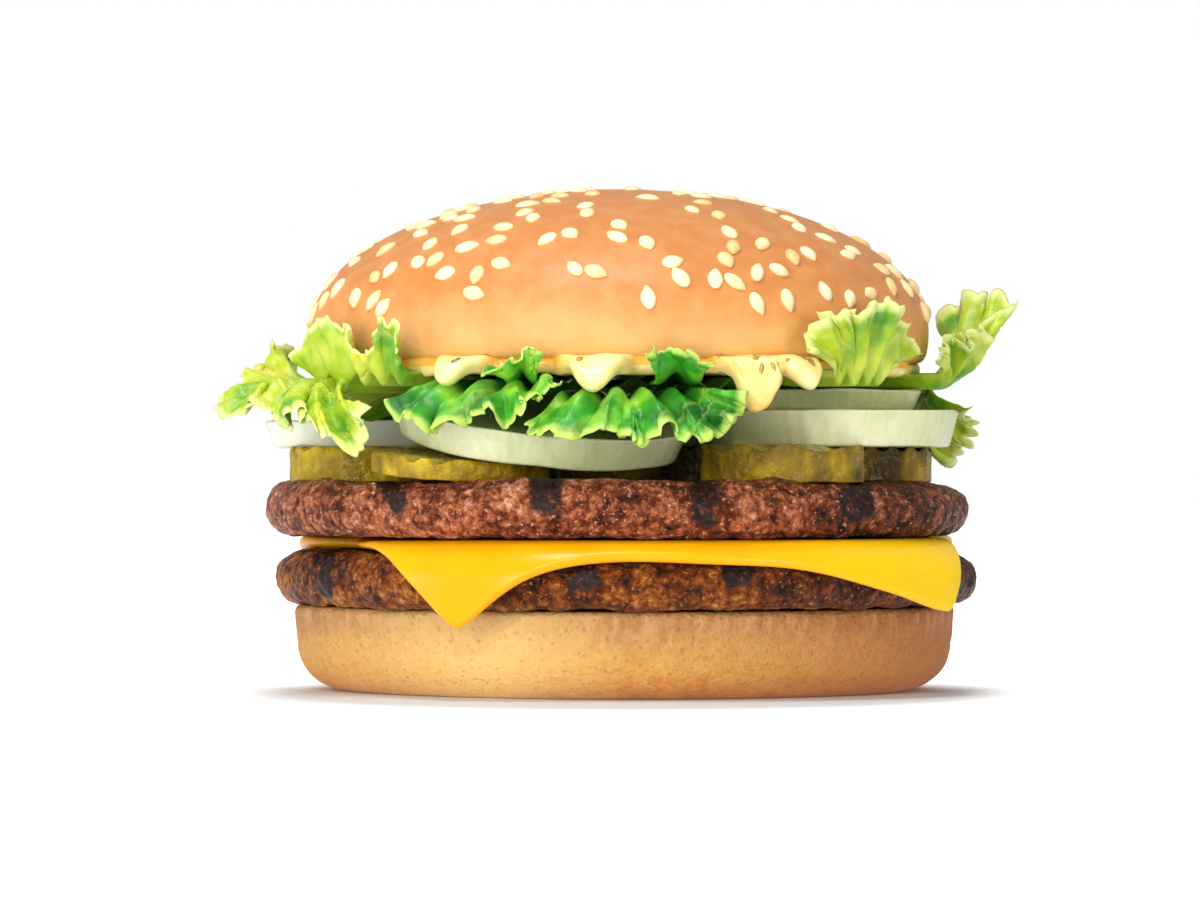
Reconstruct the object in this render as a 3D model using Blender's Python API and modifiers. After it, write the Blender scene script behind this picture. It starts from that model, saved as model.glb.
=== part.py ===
"""Double cheeseburger on a four-inch sesame bun, as a stack of separate solids.

The stack stands on the flat bottom of the heel, which is centred on the origin, with +Z up and the
front at -Y. Lengths are in millimetres and MM turns them into metres when a mesh is filled. Angles
round the stack are in degrees from the front, positive towards +X.
"""

import math

import bmesh
import bpy
import mathutils
import numpy as np

MM = 0.001
GAP = 0.3
SHARP_ANGLE = 40.0

# Driving dimensions
HEEL_R = 51.0
CROWN_R = 47.8
PATTY_R = 54.8
HEEL_H = 12.9
PATTY_H = 8.0
CHEESE_T = 1.8
PICKLE_T = 4.9
LEAF_T = 0.6
SAUCE_T = 1.8
CROWN_H = 26.8

# How far the lower patty and the cheese, and all layers above them, sit from the heel's centre
LOWER_X = 0.5
UPPER_X = -0.8

# Levels of the stack, each resting a hair above the layer under it
LOWER_PATTY_Z = HEEL_H + GAP
CHEESE_Z = LOWER_PATTY_Z + PATTY_H + GAP
UPPER_PATTY_Z = CHEESE_Z + CHEESE_T + GAP
PICKLE_Z = UPPER_PATTY_Z + PATTY_H + GAP
ONION_Z = PICKLE_Z + PICKLE_T + GAP
FRONT_LEAF_Z = 44.4
FRONT_LEFT_LEAF_Z = 45.6
LOWER_LEAF_Z = 46.2
UPPER_LEAF_Z = LOWER_LEAF_Z + LEAF_T + GAP
SAUCE_Z = UPPER_LEAF_Z + LEAF_T / 2 + GAP
CROWN_Z = SAUCE_Z + SAUCE_T + GAP


def clear_scene():
    for obj in list(bpy.data.objects):
        bpy.data.objects.remove(obj)


def new_collection(name):
    made = bpy.data.collections.new(name)
    bpy.context.scene.collection.children.link(made)
    return made


def food_material(name, colour, roughness):
    material = bpy.data.materials.new(name)
    material.use_nodes = True
    shader = material.node_tree.nodes["Principled BSDF"]
    shader.inputs["Base Color"].default_value = (*colour, 1.0)
    shader.inputs["Roughness"].default_value = roughness
    shader.inputs["Metallic"].default_value = 0.0
    return material


def points_of(mesh):
    flat = np.empty(len(mesh.vertices) * 3)
    mesh.vertices.foreach_get("co", flat)
    return flat.reshape(-1, 3)


def reshape(mesh, points_mm):
    """Moves a mesh's vertices to these points, given in millimetres."""
    mesh.vertices.foreach_set("co", (points_mm * MM).astype(np.float32).ravel())
    mesh.update()


def place(name, mesh, material, location_mm=(0.0, 0.0, 0.0), rotation=(0.0, 0.0, 0.0)):
    """One named, smooth-shaded piece of the burger, parented to the stack's empty."""
    obj = bpy.data.objects.new(name, mesh)
    obj.location = [value * MM for value in location_mm]
    obj.rotation_euler = rotation
    obj.parent = STACK
    mesh.materials.clear()
    mesh.materials.append(material)
    mesh.shade_smooth()
    mesh.set_sharp_from_angle(angle=math.radians(SHARP_ANGLE))
    BURGER.objects.link(obj)
    return obj


def sphere_mesh(name, around, rings):
    """A unit sphere whose rings are reshaped into a rounded slab."""
    mesh = bpy.data.meshes.new(name)
    build = bmesh.new()
    bmesh.ops.create_uvsphere(build, u_segments=around, v_segments=rings, radius=1.0)
    build.to_mesh(mesh)
    build.free()
    return mesh


def turned_mesh(name, profile_mm, steps):
    """A profile of (radius, height) points, from the top of the axis down to its foot, turned."""
    mesh = bpy.data.meshes.new(name)
    points = [(r * MM, 0.0, z * MM) for r, z in profile_mm]
    mesh.from_pydata(points, [(i, i + 1) for i in range(len(points) - 1)], [])
    obj = bpy.data.objects.new(name, mesh)
    bpy.context.scene.collection.objects.link(obj)
    screw = obj.modifiers.new("turn", "SCREW")
    screw.axis = "Z"
    screw.steps = screw.render_steps = steps
    screw.use_merge_vertices = True
    screw.merge_threshold = 0.0001
    screw.use_normal_calculate = True
    return evaluated_mesh(obj)


def evaluated_mesh(obj):
    """The object's mesh with its modifiers applied. The object itself is removed."""
    bpy.context.view_layer.update()
    graph = bpy.context.evaluated_depsgraph_get()
    mesh = bpy.data.meshes.new_from_object(obj.evaluated_get(graph))
    bpy.data.objects.remove(obj)
    return mesh


def direction(azimuth_deg):
    """Unit x and y of an angle round the stack."""
    angle = np.radians(azimuth_deg)
    return np.sin(angle), -np.cos(angle)


def azimuth_of(x, y):
    return np.degrees(np.arctan2(x, -y))


def turn_between(azimuth_deg, centre_deg):
    """Signed angle from a centre to an azimuth, between -180 and 180."""
    return (azimuth_deg - centre_deg + 180.0) % 360.0 - 180.0


def smooth(t):
    t = np.clip(t, 0.0, 1.0)
    return t * t * (3.0 - 2.0 * t)


def relief(points, wavelength, seed, waves=7):
    """Uneven lumps between 0 and 1: a sum of plane waves in seeded directions."""
    draw = np.random.default_rng(seed)
    headings = draw.normal(size=(waves, 3))
    headings /= np.linalg.norm(headings, axis=1)[:, None]
    lengths = wavelength * draw.uniform(0.7, 1.5, waves)
    phases = draw.uniform(0.0, 2.0 * math.pi, waves)
    total = np.zeros(len(points))
    for heading, length, phase in zip(headings, lengths, phases):
        total += np.sin(2.0 * math.pi * (points @ heading) / length + phase)
    return 0.5 + 0.5 * np.tanh(total / math.sqrt(waves))


# Heel, the bottom half of the bun
HEEL_FOOT_R = 43.5
HEEL_STEPS = 34
HEEL_ROUNDING = 7.0
# The upper rim as (inset, drop) below the cut face, and how far the side leans in to its foot
HEEL_RIM = ((1.6, 0.0), (0.3, 0.6), (0.0, 2.2))
HEEL_LEAN = 0.4
HEEL_FOOT_ANGLES = (10, 35, 60, 90)
# Uneven baking: (waves round the bun, depth, phase), a constant inset and where it sets in
HEEL_WAVES = ((3.0, 0.5, 0.7), (5.0, 0.3, 2.0))
HEEL_INSET = 0.4
HEEL_EVEN_R = 30.0
HEEL_UNEVEN_OVER = 20.0


def heel_profile():
    """Flat cut face, a crisp upper rim, a side that leans in and a rounded foot."""
    outline = [(0.0, HEEL_H)]
    outline += [(HEEL_R - inset, HEEL_H - drop) for inset, drop in HEEL_RIM]
    for degrees in HEEL_FOOT_ANGLES:
        angle = math.radians(degrees)
        reach = HEEL_R - HEEL_LEAN - HEEL_FOOT_R
        radius = HEEL_FOOT_R + reach * math.cos(angle)
        outline.append((radius, HEEL_ROUNDING * (1.0 - math.sin(angle))))
    outline.append((0.0, 0.0))
    return outline


def make_heel():
    mesh = turned_mesh("bottom_bun", heel_profile(), HEEL_STEPS)
    points = points_of(mesh) / MM
    radius = np.hypot(points[:, 0], points[:, 1])
    azimuth = np.radians(azimuth_of(points[:, 0], points[:, 1]))
    lumps = -HEEL_INSET
    for waves, depth, phase in HEEL_WAVES:
        lumps = lumps + depth * np.sin(waves * azimuth + phase)
    share = smooth((radius - HEEL_EVEN_R) / HEEL_UNEVEN_OVER) * lumps / np.maximum(radius, 1.0)
    points[:, :2] *= (1.0 + share)[:, None]
    reshape(mesh, points)
    place("bottom_bun", mesh, food_material("heel_crust", (0.80, 0.49, 0.22), 0.62))


# Patties, flame-grilled beef
RIM_R = PATTY_H / 2.0
PATTY_AROUND = 34
PATTY_RINGS = 12
RIM_LATITUDE = 60.0
CRAG = 0.9
CRAG_LENGTH = 9.0
CRAG_ON_FACES = 0.6
# Outline of a patty: (waves round it, depth)
PATTY_WAVES = ((2.0, 0.4), (3.0, 0.3), (5.0, 0.175), (9.0, 0.15))


def patty_reach(azimuth_deg, seed):
    """Uneven outline of a patty: how far its rim stands from the axis."""
    angle = np.radians(azimuth_deg)
    phases = np.random.default_rng(seed).uniform(0.0, 2.0 * math.pi, len(PATTY_WAVES))
    reach = PATTY_R
    for (waves, depth), phase in zip(PATTY_WAVES, phases):
        reach = reach + depth * np.sin(waves * angle + phase)
    return reach


def make_patty(name, centre_x, level, seed, colour):
    """A flat round slab with a half-round rim. Crags are only cut into it, never built out."""
    mesh = sphere_mesh(name, PATTY_AROUND, PATTY_RINGS)
    unit = points_of(mesh)
    latitude = np.degrees(np.arcsin(np.clip(unit[:, 2], -1.0, 1.0)))
    azimuth = azimuth_of(unit[:, 0], unit[:, 1])
    reach = patty_reach(azimuth, seed)
    turn = np.radians(np.clip(latitude / RIM_LATITUDE, -1.0, 1.0) * 90.0)
    inward = np.clip((90.0 - np.abs(latitude)) / (90.0 - RIM_LATITUDE), 0.0, 1.0)
    radius = (reach - RIM_R) * inward + RIM_R * np.cos(turn)
    height = RIM_R * np.sin(turn)
    east, north = direction(azimuth)
    points = np.column_stack([radius * east, radius * north, height])
    crag = CRAG * relief(points, CRAG_LENGTH, seed + 10)
    points[:, 0] -= crag * np.cos(turn) * east
    points[:, 1] -= crag * np.cos(turn) * north
    points[:, 2] -= CRAG_ON_FACES * crag * np.sin(turn)
    reshape(mesh, points)
    material = food_material(name, colour, 0.55)
    place(name, mesh, material, (centre_x, 0.0, level + RIM_R))


# Cheese slice and sauce, both sheets that lie flat and then fold down over an edge
WELD = 0.0001
SHEET_SPACING = 14.0


def columns_round(marked):
    """Azimuths of a sheet's columns: the marked ones, with wide gaps between them filled."""
    marked = np.sort((np.array(marked) + 180.0) % 360.0 - 180.0)
    around = []
    for first, last in zip(marked, np.append(marked[1:], marked[0] + 360.0)):
        count = math.ceil((last - first) / SHEET_SPACING)
        around += list(np.linspace(first, last, count, endpoint=False))
    return np.array(around)


def sheet_mesh(name, azimuths, rows):
    """A unit disc woven from a grid: columns at these azimuths, rows going out, seam welded."""
    mesh = bpy.data.meshes.new(name)
    build = bmesh.new()
    columns = len(azimuths)
    bmesh.ops.create_grid(build, x_segments=columns, y_segments=rows, size=1.0)
    for vertex in build.verts:
        column = round((0.5 + 0.5 * vertex.co.x) * columns) % columns
        share = 0.5 + 0.5 * vertex.co.y
        east, north = direction(azimuths[column])
        vertex.co = (share * east, share * north, 0.0)
    bmesh.ops.remove_doubles(build, verts=build.verts, dist=WELD)
    build.to_mesh(mesh)
    build.free()
    return mesh


def drape(azimuth, travel, lip, bend_r, flare):
    """Points that run out level to the lip, round a quarter bend, then straight down.

    travel is the distance along the sheet from the axis, and flare leans the hanging end out.
    """
    past = np.maximum(travel - lip, 0.0)
    turn = np.clip(past / bend_r, 0.0, math.pi / 2.0 - flare)
    hang = np.maximum(past - bend_r * (math.pi / 2.0 - flare), 0.0)
    radius = np.minimum(travel, lip) + bend_r * np.sin(turn) + hang * math.sin(flare)
    height = -bend_r * (1.0 - np.cos(turn)) - hang * math.cos(flare)
    east, north = direction(azimuth)
    return np.column_stack([radius * east, radius * north, height])


def thicken(obj, thickness_mm):
    """Both faces of the sheet split into the same triangles, then given their thickness."""
    split = obj.modifiers.new("triangles", "TRIANGULATE")
    split.quad_method = "FIXED"
    solid = obj.modifiers.new("thickness", "SOLIDIFY")
    solid.thickness = thickness_mm * MM
    solid.offset = 0.0
    solid.use_even_offset = False


CHEESE_ROWS = 6
CHEESE_BEND_R = RIM_R + 3.0 * GAP + CHEESE_T / 2.0
CHEESE_LIP_SPILL = 0.2
CHEESE_FLARE = 0.06
LOWER_PATTY_SEED = 3
UPPER_PATTY_SEED = 8
# Each corner of the slice: azimuth, extra reach, and its width on the left and on the right
CHEESE_CORNERS = (
    (-26.2, 11.6, 10.0, 10.0),
    (56.0, 9.3, 25.0, 5.5),
    (152.0, 10.5, 13.0, 12.0),
    (-125.0, 8.0, 12.0, 9.0),
)
# Each side where the slice stops short of the rim: azimuth, missing reach and half width
CHEESE_SIDES = (
    (-75.0, 10.5, 26.0),
    (86.0, 10.5, 17.0),
    (-162.0, 2.5, 20.0),
)
CHEESE_MELTED = 6.0
# Columns of the slice on each half of a corner, in widths of that half from its point
CORNER_MARKS = (0.45, 1.0, 1.8)


def cheese_reach(azimuth):
    """How far the slice runs from the axis: four hanging corners, and straighter sides."""
    reach = patty_reach(azimuth, LOWER_PATTY_SEED) + CHEESE_LIP_SPILL
    for corner, extra, left, right in CHEESE_CORNERS:
        off = turn_between(azimuth, corner)
        width = np.where(off < 0.0, left, right)
        reach = reach + extra * np.exp(-((np.abs(off) / width) ** 1.4))
    for side, missing, width in CHEESE_SIDES:
        off = turn_between(azimuth, side)
        reach = reach - missing * np.exp(-((off / width) ** 2))
    return reach


def make_cheese():
    marked = []
    for corner, _, left, right in CHEESE_CORNERS:
        marked += [corner] + [corner - mark * left for mark in CORNER_MARKS]
        marked += [corner + mark * right for mark in CORNER_MARKS]
    for side, _, width in CHEESE_SIDES:
        marked += [side - width, side + width]
    mesh = sheet_mesh("cheese_slice", columns_round(marked), CHEESE_ROWS)
    disc = points_of(mesh)
    share = np.hypot(disc[:, 0], disc[:, 1])
    azimuth = azimuth_of(disc[:, 0], disc[:, 1])
    lip = patty_reach(azimuth, LOWER_PATTY_SEED) - RIM_R
    reach = cheese_reach(azimuth)
    flat = np.minimum(lip, reach - CHEESE_MELTED)
    outer = np.maximum(share * CHEESE_ROWS - 1.0, 0.0) / (CHEESE_ROWS - 1.0)
    inner = np.minimum(share * CHEESE_ROWS, 1.0)
    travel = flat * inner + (reach - flat) * outer
    points = drape(azimuth, travel, lip, CHEESE_BEND_R, CHEESE_FLARE)
    reshape(mesh, points)
    material = food_material("cheese", (0.98, 0.68, 0.03), 0.3)
    slice_obj = place(
        "cheese_slice", mesh, material, (LOWER_X, 0.0, CHEESE_Z + CHEESE_T / 2.0)
    )
    thicken(slice_obj, CHEESE_T)


SAUCE_ROWS = 4
SAUCE_LIP = 48.6
SAUCE_BEND_R = 3.2
SAUCE_BODY_R = 45.0
SAUCE_FLAT_R = 41.0
SAUCE_FLARE = 0.35
# A run's columns and where its edge ends, in half widths from its middle
RUN_MARKS = (-1.5, -0.8, 0.0, 0.8, 1.5)
RUN_END = 1.5
# Each run of sauce: azimuth, extra reach and half width
SAUCE_RUNS = (
    (-29.4, 8.0, 4.2),
    (-4.5, 8.9, 5.5),
    (22.5, 12.4, 4.5),
    (32.0, 8.4, 4.6),
    (117.0, 9.0, 2.6),
    (-152.0, 11.0, 4.5),
)


def sauce_reach(azimuth):
    reach = np.full(len(azimuth), SAUCE_BODY_R)
    for centre, extra, width in SAUCE_RUNS:
        off = np.abs(turn_between(azimuth, centre))
        reach = np.maximum(reach, SAUCE_BODY_R + extra * smooth(RUN_END - off / width))
    return reach


def make_sauce():
    marked = []
    for centre, _, width in SAUCE_RUNS:
        marked += [centre + width * mark for mark in RUN_MARKS]
    mesh = sheet_mesh("sauce", columns_round(marked), SAUCE_ROWS)
    disc = points_of(mesh)
    share = np.hypot(disc[:, 0], disc[:, 1])
    azimuth = azimuth_of(disc[:, 0], disc[:, 1])
    outer = np.maximum(share * SAUCE_ROWS - 1.0, 0.0) / (SAUCE_ROWS - 1.0)
    inner = np.minimum(share * SAUCE_ROWS, 1.0)
    travel = SAUCE_FLAT_R * inner + (sauce_reach(azimuth) - SAUCE_FLAT_R) * outer
    points = drape(azimuth, travel, SAUCE_LIP, SAUCE_BEND_R, SAUCE_FLARE)
    reshape(mesh, points)
    material = food_material("burger_sauce", (0.98, 0.83, 0.50), 0.35)
    sauce = place("sauce", mesh, material, (UPPER_X, 0.0, SAUCE_Z + SAUCE_T / 2.0))
    thicken(sauce, SAUCE_T)


# Pickle slices, crinkle cut
PICKLE_AROUND = 18
CRINKLE = 0.35
CRINKLE_PITCH = 5.0
# Share of the radius that the eased rim takes, how thick the rim is, and how uneven its outline
PICKLE_BEVEL = 0.08
PICKLE_RIM = 0.82
PICKLE_WOBBLE = 0.02
# Direction in which the first slice is crinkled, and how much each further one is turned
FIRST_CUT = 75.0
CUT_TURN = 40.0
# Each slice: centre, radius, thickness, height of its underside above the patty, tilt to x and y
PICKLES = (
    (-37.3, -6.0, 13.8, 4.9, 0.0, 0.0, 0.0),
    (-24.0, -31.0, 13.6, 2.6, 1.1, -0.05, 0.07),
    (24.0, -31.0, 12.5, 4.9, 0.0, 0.0, 0.0),
    (35.6, -5.0, 12.6, 4.9, 0.0, 0.0, 0.0),
    (22.0, 26.0, 13.0, 4.9, 0.0, 0.0, 0.0),
    (-8.0, 37.5, 12.8, 4.9, 0.0, 0.0, 0.0),
    (-31.0, 24.5, 12.8, 4.9, 0.0, 0.0, 0.0),
    (2.0, 8.0, 12.5, 4.9, 0.0, 0.0, 0.0),
)


def slab_mesh(name, around, bevel_share):
    """A cylinder of unit radius and height with its two rims eased."""
    mesh = bpy.data.meshes.new(name)
    build = bmesh.new()
    bmesh.ops.create_cone(
        build, cap_ends=True, segments=around, radius1=1.0, radius2=1.0, depth=1.0
    )
    caps = [face for face in build.faces if len(face.verts) == around]
    bmesh.ops.inset_region(build, faces=caps, thickness=bevel_share, use_boundary=True)
    bmesh.ops.poke(build, faces=[f for f in build.faces if len(f.verts) == around])
    build.to_mesh(mesh)
    build.free()
    return mesh


def make_pickle(number, centre_x, centre_y, radius, thickness, lift, tilt_x, tilt_y):
    name = f"pickle_{number}"
    mesh = slab_mesh(name, PICKLE_AROUND, PICKLE_BEVEL)
    unit = points_of(mesh)
    out = np.hypot(unit[:, 0], unit[:, 1])
    ease = np.where(out > 1.0 - PICKLE_BEVEL / 2.0, PICKLE_RIM, 1.0)
    azimuth = np.arctan2(unit[:, 1], unit[:, 0])
    wobble = 1.0 + PICKLE_WOBBLE * (np.sin(3.0 * azimuth + number) - 1.0)
    plan = unit[:, :2] * radius * wobble[:, None]
    cut = math.radians(FIRST_CUT + CUT_TURN * (number - 1))
    across = plan[:, 0] * math.cos(cut) + plan[:, 1] * math.sin(cut)
    wave = CRINKLE * np.sin(2.0 * math.pi * across / CRINKLE_PITCH)
    wave *= out > PICKLE_BEVEL
    core = thickness - 2.0 * CRINKLE
    points = np.column_stack([plan, unit[:, 2] * core * ease + wave])
    reshape(mesh, points)
    rotation = (math.atan(tilt_y), -math.atan(tilt_x), 0.0)
    height = PICKLE_Z + lift + thickness / 2.0
    material = food_material(name, (0.42, 0.36, 0.05), 0.25)
    place(name, mesh, material, (UPPER_X + centre_x, centre_y, height), rotation)


# Onion slices, cut across the rings, so the rim slopes
ONION_AROUND = 24
ONION_SLOPE = 0.07
# Share of the radius that the eased rim takes, how thick the rim is, and how uneven its outline
ONION_BEVEL = 0.05
ONION_RIM = 0.8
ONION_WOBBLE = 0.012
# Each slice: centre, radius, thickness, height of its underside above the pickles, tilt to x and y
ONIONS = (
    (-35.0, 9.0, 20.2, 3.9, 0.0, 0.0, 0.0),
    (-12.0, -27.5, 22.2, 4.6, 0.1, -0.10, 0.158),
    (31.5, -16.0, 19.8, 5.2, 0.0, 0.0, 0.0),
    (27.0, -6.0, 19.5, 2.9, 5.2 + GAP, 0.0, 0.0),
    (8.0, 27.0, 21.5, 4.6, 0.0, 0.0, 0.0),
)


def make_onion(number, centre_x, centre_y, radius, thickness, lift, tilt_x, tilt_y):
    name = f"onion_{number}"
    mesh = slab_mesh(name, ONION_AROUND, ONION_BEVEL)
    unit = points_of(mesh)
    out = np.hypot(unit[:, 0], unit[:, 1])
    ease = np.where(out > 1.0 - ONION_BEVEL / 2.0, ONION_RIM, 1.0)
    azimuth = np.arctan2(unit[:, 1], unit[:, 0])
    wobble = 1.0 + ONION_WOBBLE * (np.sin(2.0 * azimuth + number) - 1.0)
    slope = 1.0 - ONION_SLOPE * (0.5 - unit[:, 2])
    plan = unit[:, :2] * radius * (wobble * slope)[:, None]
    points = np.column_stack([plan, unit[:, 2] * thickness * ease])
    reshape(mesh, points)
    rotation = (math.atan(tilt_y), -math.atan(tilt_x), 0.0)
    height = ONION_Z + lift + thickness / 2.0
    material = food_material(name, (0.86, 0.88, 0.72), 0.3)
    place(name, mesh, material, (UPPER_X + centre_x, centre_y, height), rotation)


# Lettuce, leaves laid on the onion with their frilled edges outside the bun
LEAF_INNER_R = 30.0
BED_ROWS = 1
FRILL_ROWS = 3
COLUMNS_PER_STATION = 2
HUG_R = 49.7
OUT_R = 48.5
DROOP_R = 47.6
# A leaf arches out before it falls: how far out its knee is, and how late it drops or rises
KNEE = 0.7
DROOP = 2.0
RISE = 1.2
# One leaf falls at once, behind the onion, and flares at its foot: its knee and droop
FALLING_LEAF = "leaf_right_low"
FALLING_BEND = (0.0, 0.6)
SWING = 0.4
# How fast the ruffles deepen towards the rim
RUFFLE_POWER = 1.4
# Each leaf: level of its bed, radius where it leaves the bed, how much narrower its root is,
# number and depth of its ruffles, and its rim as (azimuth, radius, height)
LEAVES = {
    "leaf_left": (
        LOWER_LEAF_Z, OUT_R, 0.62, 7.0, 1.5,
        ((-114.0, 53.6, 52.1), (-106.0, 54.8, 52.9), (-97.0, 56.8, 50.6), (-91.0, 57.2, 47.1),
         (-86.0, 60.5, 44.9), (-79.7, 61.5, 41.3), (-72.0, 59.2, 43.5), (-64.5, 58.3, 42.7),
         (-57.9, 58.3, 40.5), (-53.0, 58.0, 42.5), (-48.0, 58.0, 37.6), (-42.5, 57.0, 37.2),
         (-39.9, 56.5, 41.7)),
    ),
    "leaf_left_upper": (
        UPPER_LEAF_Z, HUG_R, 0.9, 4.0, 0.6,
        ((-69.4, 51.9, 50.1), (-64.8, 52.2, 54.2), (-56.1, 52.5, 55.7), (-50.2, 52.2, 53.5),
         (-45.3, 52.6, 50.0), (-40.9, 53.0, 56.4), (-37.5, 53.1, 50.9)),
    ),
    "leaf_front_left": (
        FRONT_LEFT_LEAF_Z, DROOP_R, 0.8, 5.0, 1.0,
        ((-37.5, 56.0, 43.0), (-32.5, 56.6, 40.6), (-27.7, 56.9, 38.9), (-21.5, 57.0, 42.0),
         (-17.0, 56.9, 40.2), (-13.5, 55.5, 43.9), (-9.6, 54.5, 45.2)),
    ),
    "leaf_front_left_upper": (
        UPPER_LEAF_Z, HUG_R, 0.75, 3.0, 0.5,
        ((-22.5, 52.9, 48.9), (-18.5, 53.4, 48.9), (-15.0, 53.3, 50.9), (-12.8, 52.8, 51.0)),
    ),
    "leaf_front": (
        FRONT_LEAF_Z, DROOP_R, 0.7, 7.0, 1.0,
        ((-15.4, 55.4, 39.7), (-8.8, 55.7, 38.3), (-3.5, 55.7, 39.0), (0.5, 56.0, 38.4),
         (3.3, 56.2, 36.9), (7.6, 56.5, 39.3), (11.7, 56.8, 37.2), (15.0, 57.0, 39.4),
         (17.6, 57.2, 41.6), (18.4, 57.6, 44.5)),
    ),
    "leaf_front_upper": (
        UPPER_LEAF_Z, HUG_R, 0.75, 3.0, 0.5,
        ((4.4, 53.0, 50.2), (7.3, 53.4, 50.9), (11.5, 53.4, 49.9), (14.6, 53.6, 48.6)),
    ),
    "leaf_right": (
        UPPER_LEAF_Z, HUG_R, 0.42, 5.0, 0.8,
        ((30.2, 53.4, 50.6), (31.0, 53.2, 53.4), (34.5, 52.9, 56.0), (38.9, 52.9, 56.0),
         (44.0, 52.9, 57.5), (50.0, 53.0, 57.2), (60.0, 52.2, 51.5)),
    ),
    "leaf_far_right": (
        UPPER_LEAF_Z, HUG_R, 0.55, 6.0, 1.1,
        ((65.3, 51.8, 50.2), (72.5, 51.8, 53.6), (78.5, 53.6, 53.0), (84.0, 56.2, 53.6),
         (90.0, 56.2, 55.8), (94.7, 60.2, 59.7), (98.7, 58.6, 60.6), (104.5, 55.6, 60.3),
         (110.0, 55.2, 58.6), (113.0, 55.2, 56.1)),
    ),
    "leaf_right_low": (
        LOWER_LEAF_Z, OUT_R, 0.6, 3.0, 0.9,
        ((92.5, 54.0, 42.5), (97.5, 55.6, 40.6), (102.5, 56.0, 37.4), (108.0, 55.2, 35.2),
         (113.0, 54.4, 38.2)),
    ),
    "leaf_back_right": (
        LOWER_LEAF_Z, OUT_R, 0.9, 5.0, 1.6,
        ((122.0, 55.5, 44.5), (130.0, 57.5, 40.5), (140.0, 57.0, 42.5), (150.0, 57.5, 39.0),
         (161.0, 55.5, 44.5)),
    ),
    "leaf_back": (
        LOWER_LEAF_Z, OUT_R, 0.9, 5.0, 1.6,
        ((166.0, 55.5, 43.5), (175.0, 57.0, 39.0), (184.0, 57.5, 42.5), (192.0, 57.0, 38.5),
         (199.0, 55.5, 44.0)),
    ),
    "leaf_back_left": (
        LOWER_LEAF_Z, OUT_R, 0.9, 5.0, 1.6,
        ((216.0, 55.5, 44.5), (224.0, 57.5, 39.5), (231.0, 57.5, 43.0), (238.0, 58.0, 39.0),
         (243.0, 56.5, 43.0)),
    ),
    "leaf_back_left_upper": (
        UPPER_LEAF_Z, HUG_R, 0.85, 4.0, 0.7,
        ((218.0, 52.8, 50.4), (225.0, 53.6, 55.5), (233.0, 53.2, 53.0), (240.0, 53.2, 49.6)),
    ),
    "leaf_back_upper": (
        UPPER_LEAF_Z, HUG_R, 0.85, 4.0, 0.7,
        ((126.0, 52.6, 50.4), (137.0, 53.3, 55.0), (150.0, 53.0, 54.5), (166.0, 52.6, 50.4)),
    ),
}


def along(stations, share):
    """Values between stations on a smooth curve through all of them, a Catmull-Rom spline."""
    table = np.array(stations)
    last = len(table) - 1
    place_on = np.clip(share, 0.0, 1.0) * last
    index = np.minimum(place_on.astype(int), last - 1)
    t = (place_on - index)[:, None]
    first, second = table[index], table[index + 1]
    enter = (second - table[np.maximum(index - 1, 0)]) / 2.0
    leave = (table[np.minimum(index + 2, last)] - first) / 2.0
    rise = second - first
    bend = 3.0 * rise - 2.0 * enter - leave
    return first + t * (enter + t * (bend + t * (enter + leave - 2.0 * rise)))


def smooth_leaf(share, out, level, fold_r, squeeze, stations, knee, droop):
    """A leaf before it ruffles, over its width (share) and from fold to rim (out, -1 is the root).

    It lies level to the fold radius. Past it, each column bends down, or up more steeply, to its
    place on the rim, while its azimuth swings from the narrower root to the rim.
    """
    azimuth, rim_r, rim_z = along(stations, share).T
    middle = (stations[0][0] + stations[-1][0]) / 2.0
    root = middle + (azimuth - middle) * squeeze
    bed = np.clip(1.0 + out, 0.0, 1.0)
    past = np.clip(out, 0.0, 1.0)
    radius = LEAF_INNER_R + (fold_r - LEAF_INNER_R) * bed
    radius += (rim_r - fold_r) * (2.0 * knee * past * (1.0 - past) + past**2)
    height = level + (rim_z - level) * past ** np.where(rim_z > level, RISE, droop)
    east, north = direction(root + (azimuth - root) * past**2)
    return np.column_stack([radius * east, radius * north, height])


def leaf_points(share, out, level, fold_r, squeeze, ruffles, depth, stations, knee, droop):
    """The smooth leaf with ruffles, which grow towards the rim and lean over one another."""
    shape = (level, fold_r, squeeze, stations, knee, droop)
    step = 0.01
    points = smooth_leaf(share, out, *shape)
    across = smooth_leaf(share + step, out, *shape) - smooth_leaf(share - step, out, *shape)
    outward = smooth_leaf(share, out + step, *shape) - smooth_leaf(share, out - step, *shape)
    across /= np.linalg.norm(across, axis=1)[:, None]
    normal = np.cross(across, outward)
    normal /= np.linalg.norm(normal, axis=1)[:, None]
    amount = (depth * np.clip(out, 0.0, 1.0) ** RUFFLE_POWER)[:, None]
    phase = (2.0 * math.pi * ruffles * share)[:, None]
    return points + amount * (np.sin(phase) * normal + SWING * np.sin(2.0 * phase) * across)


LEAF_MIDDLE_R = 29.0
LEAF_MIDDLE_Z = 46.6
LEAF_MIDDLE_ROWS = 3
LEAF_MIDDLE_COLUMNS = 12
LEAF_MIDDLE_WAVE = 16.0
LEAF_MIDDLE_SEED = 7
LEAF_GREEN = (0.30, 0.62, 0.06)


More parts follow.
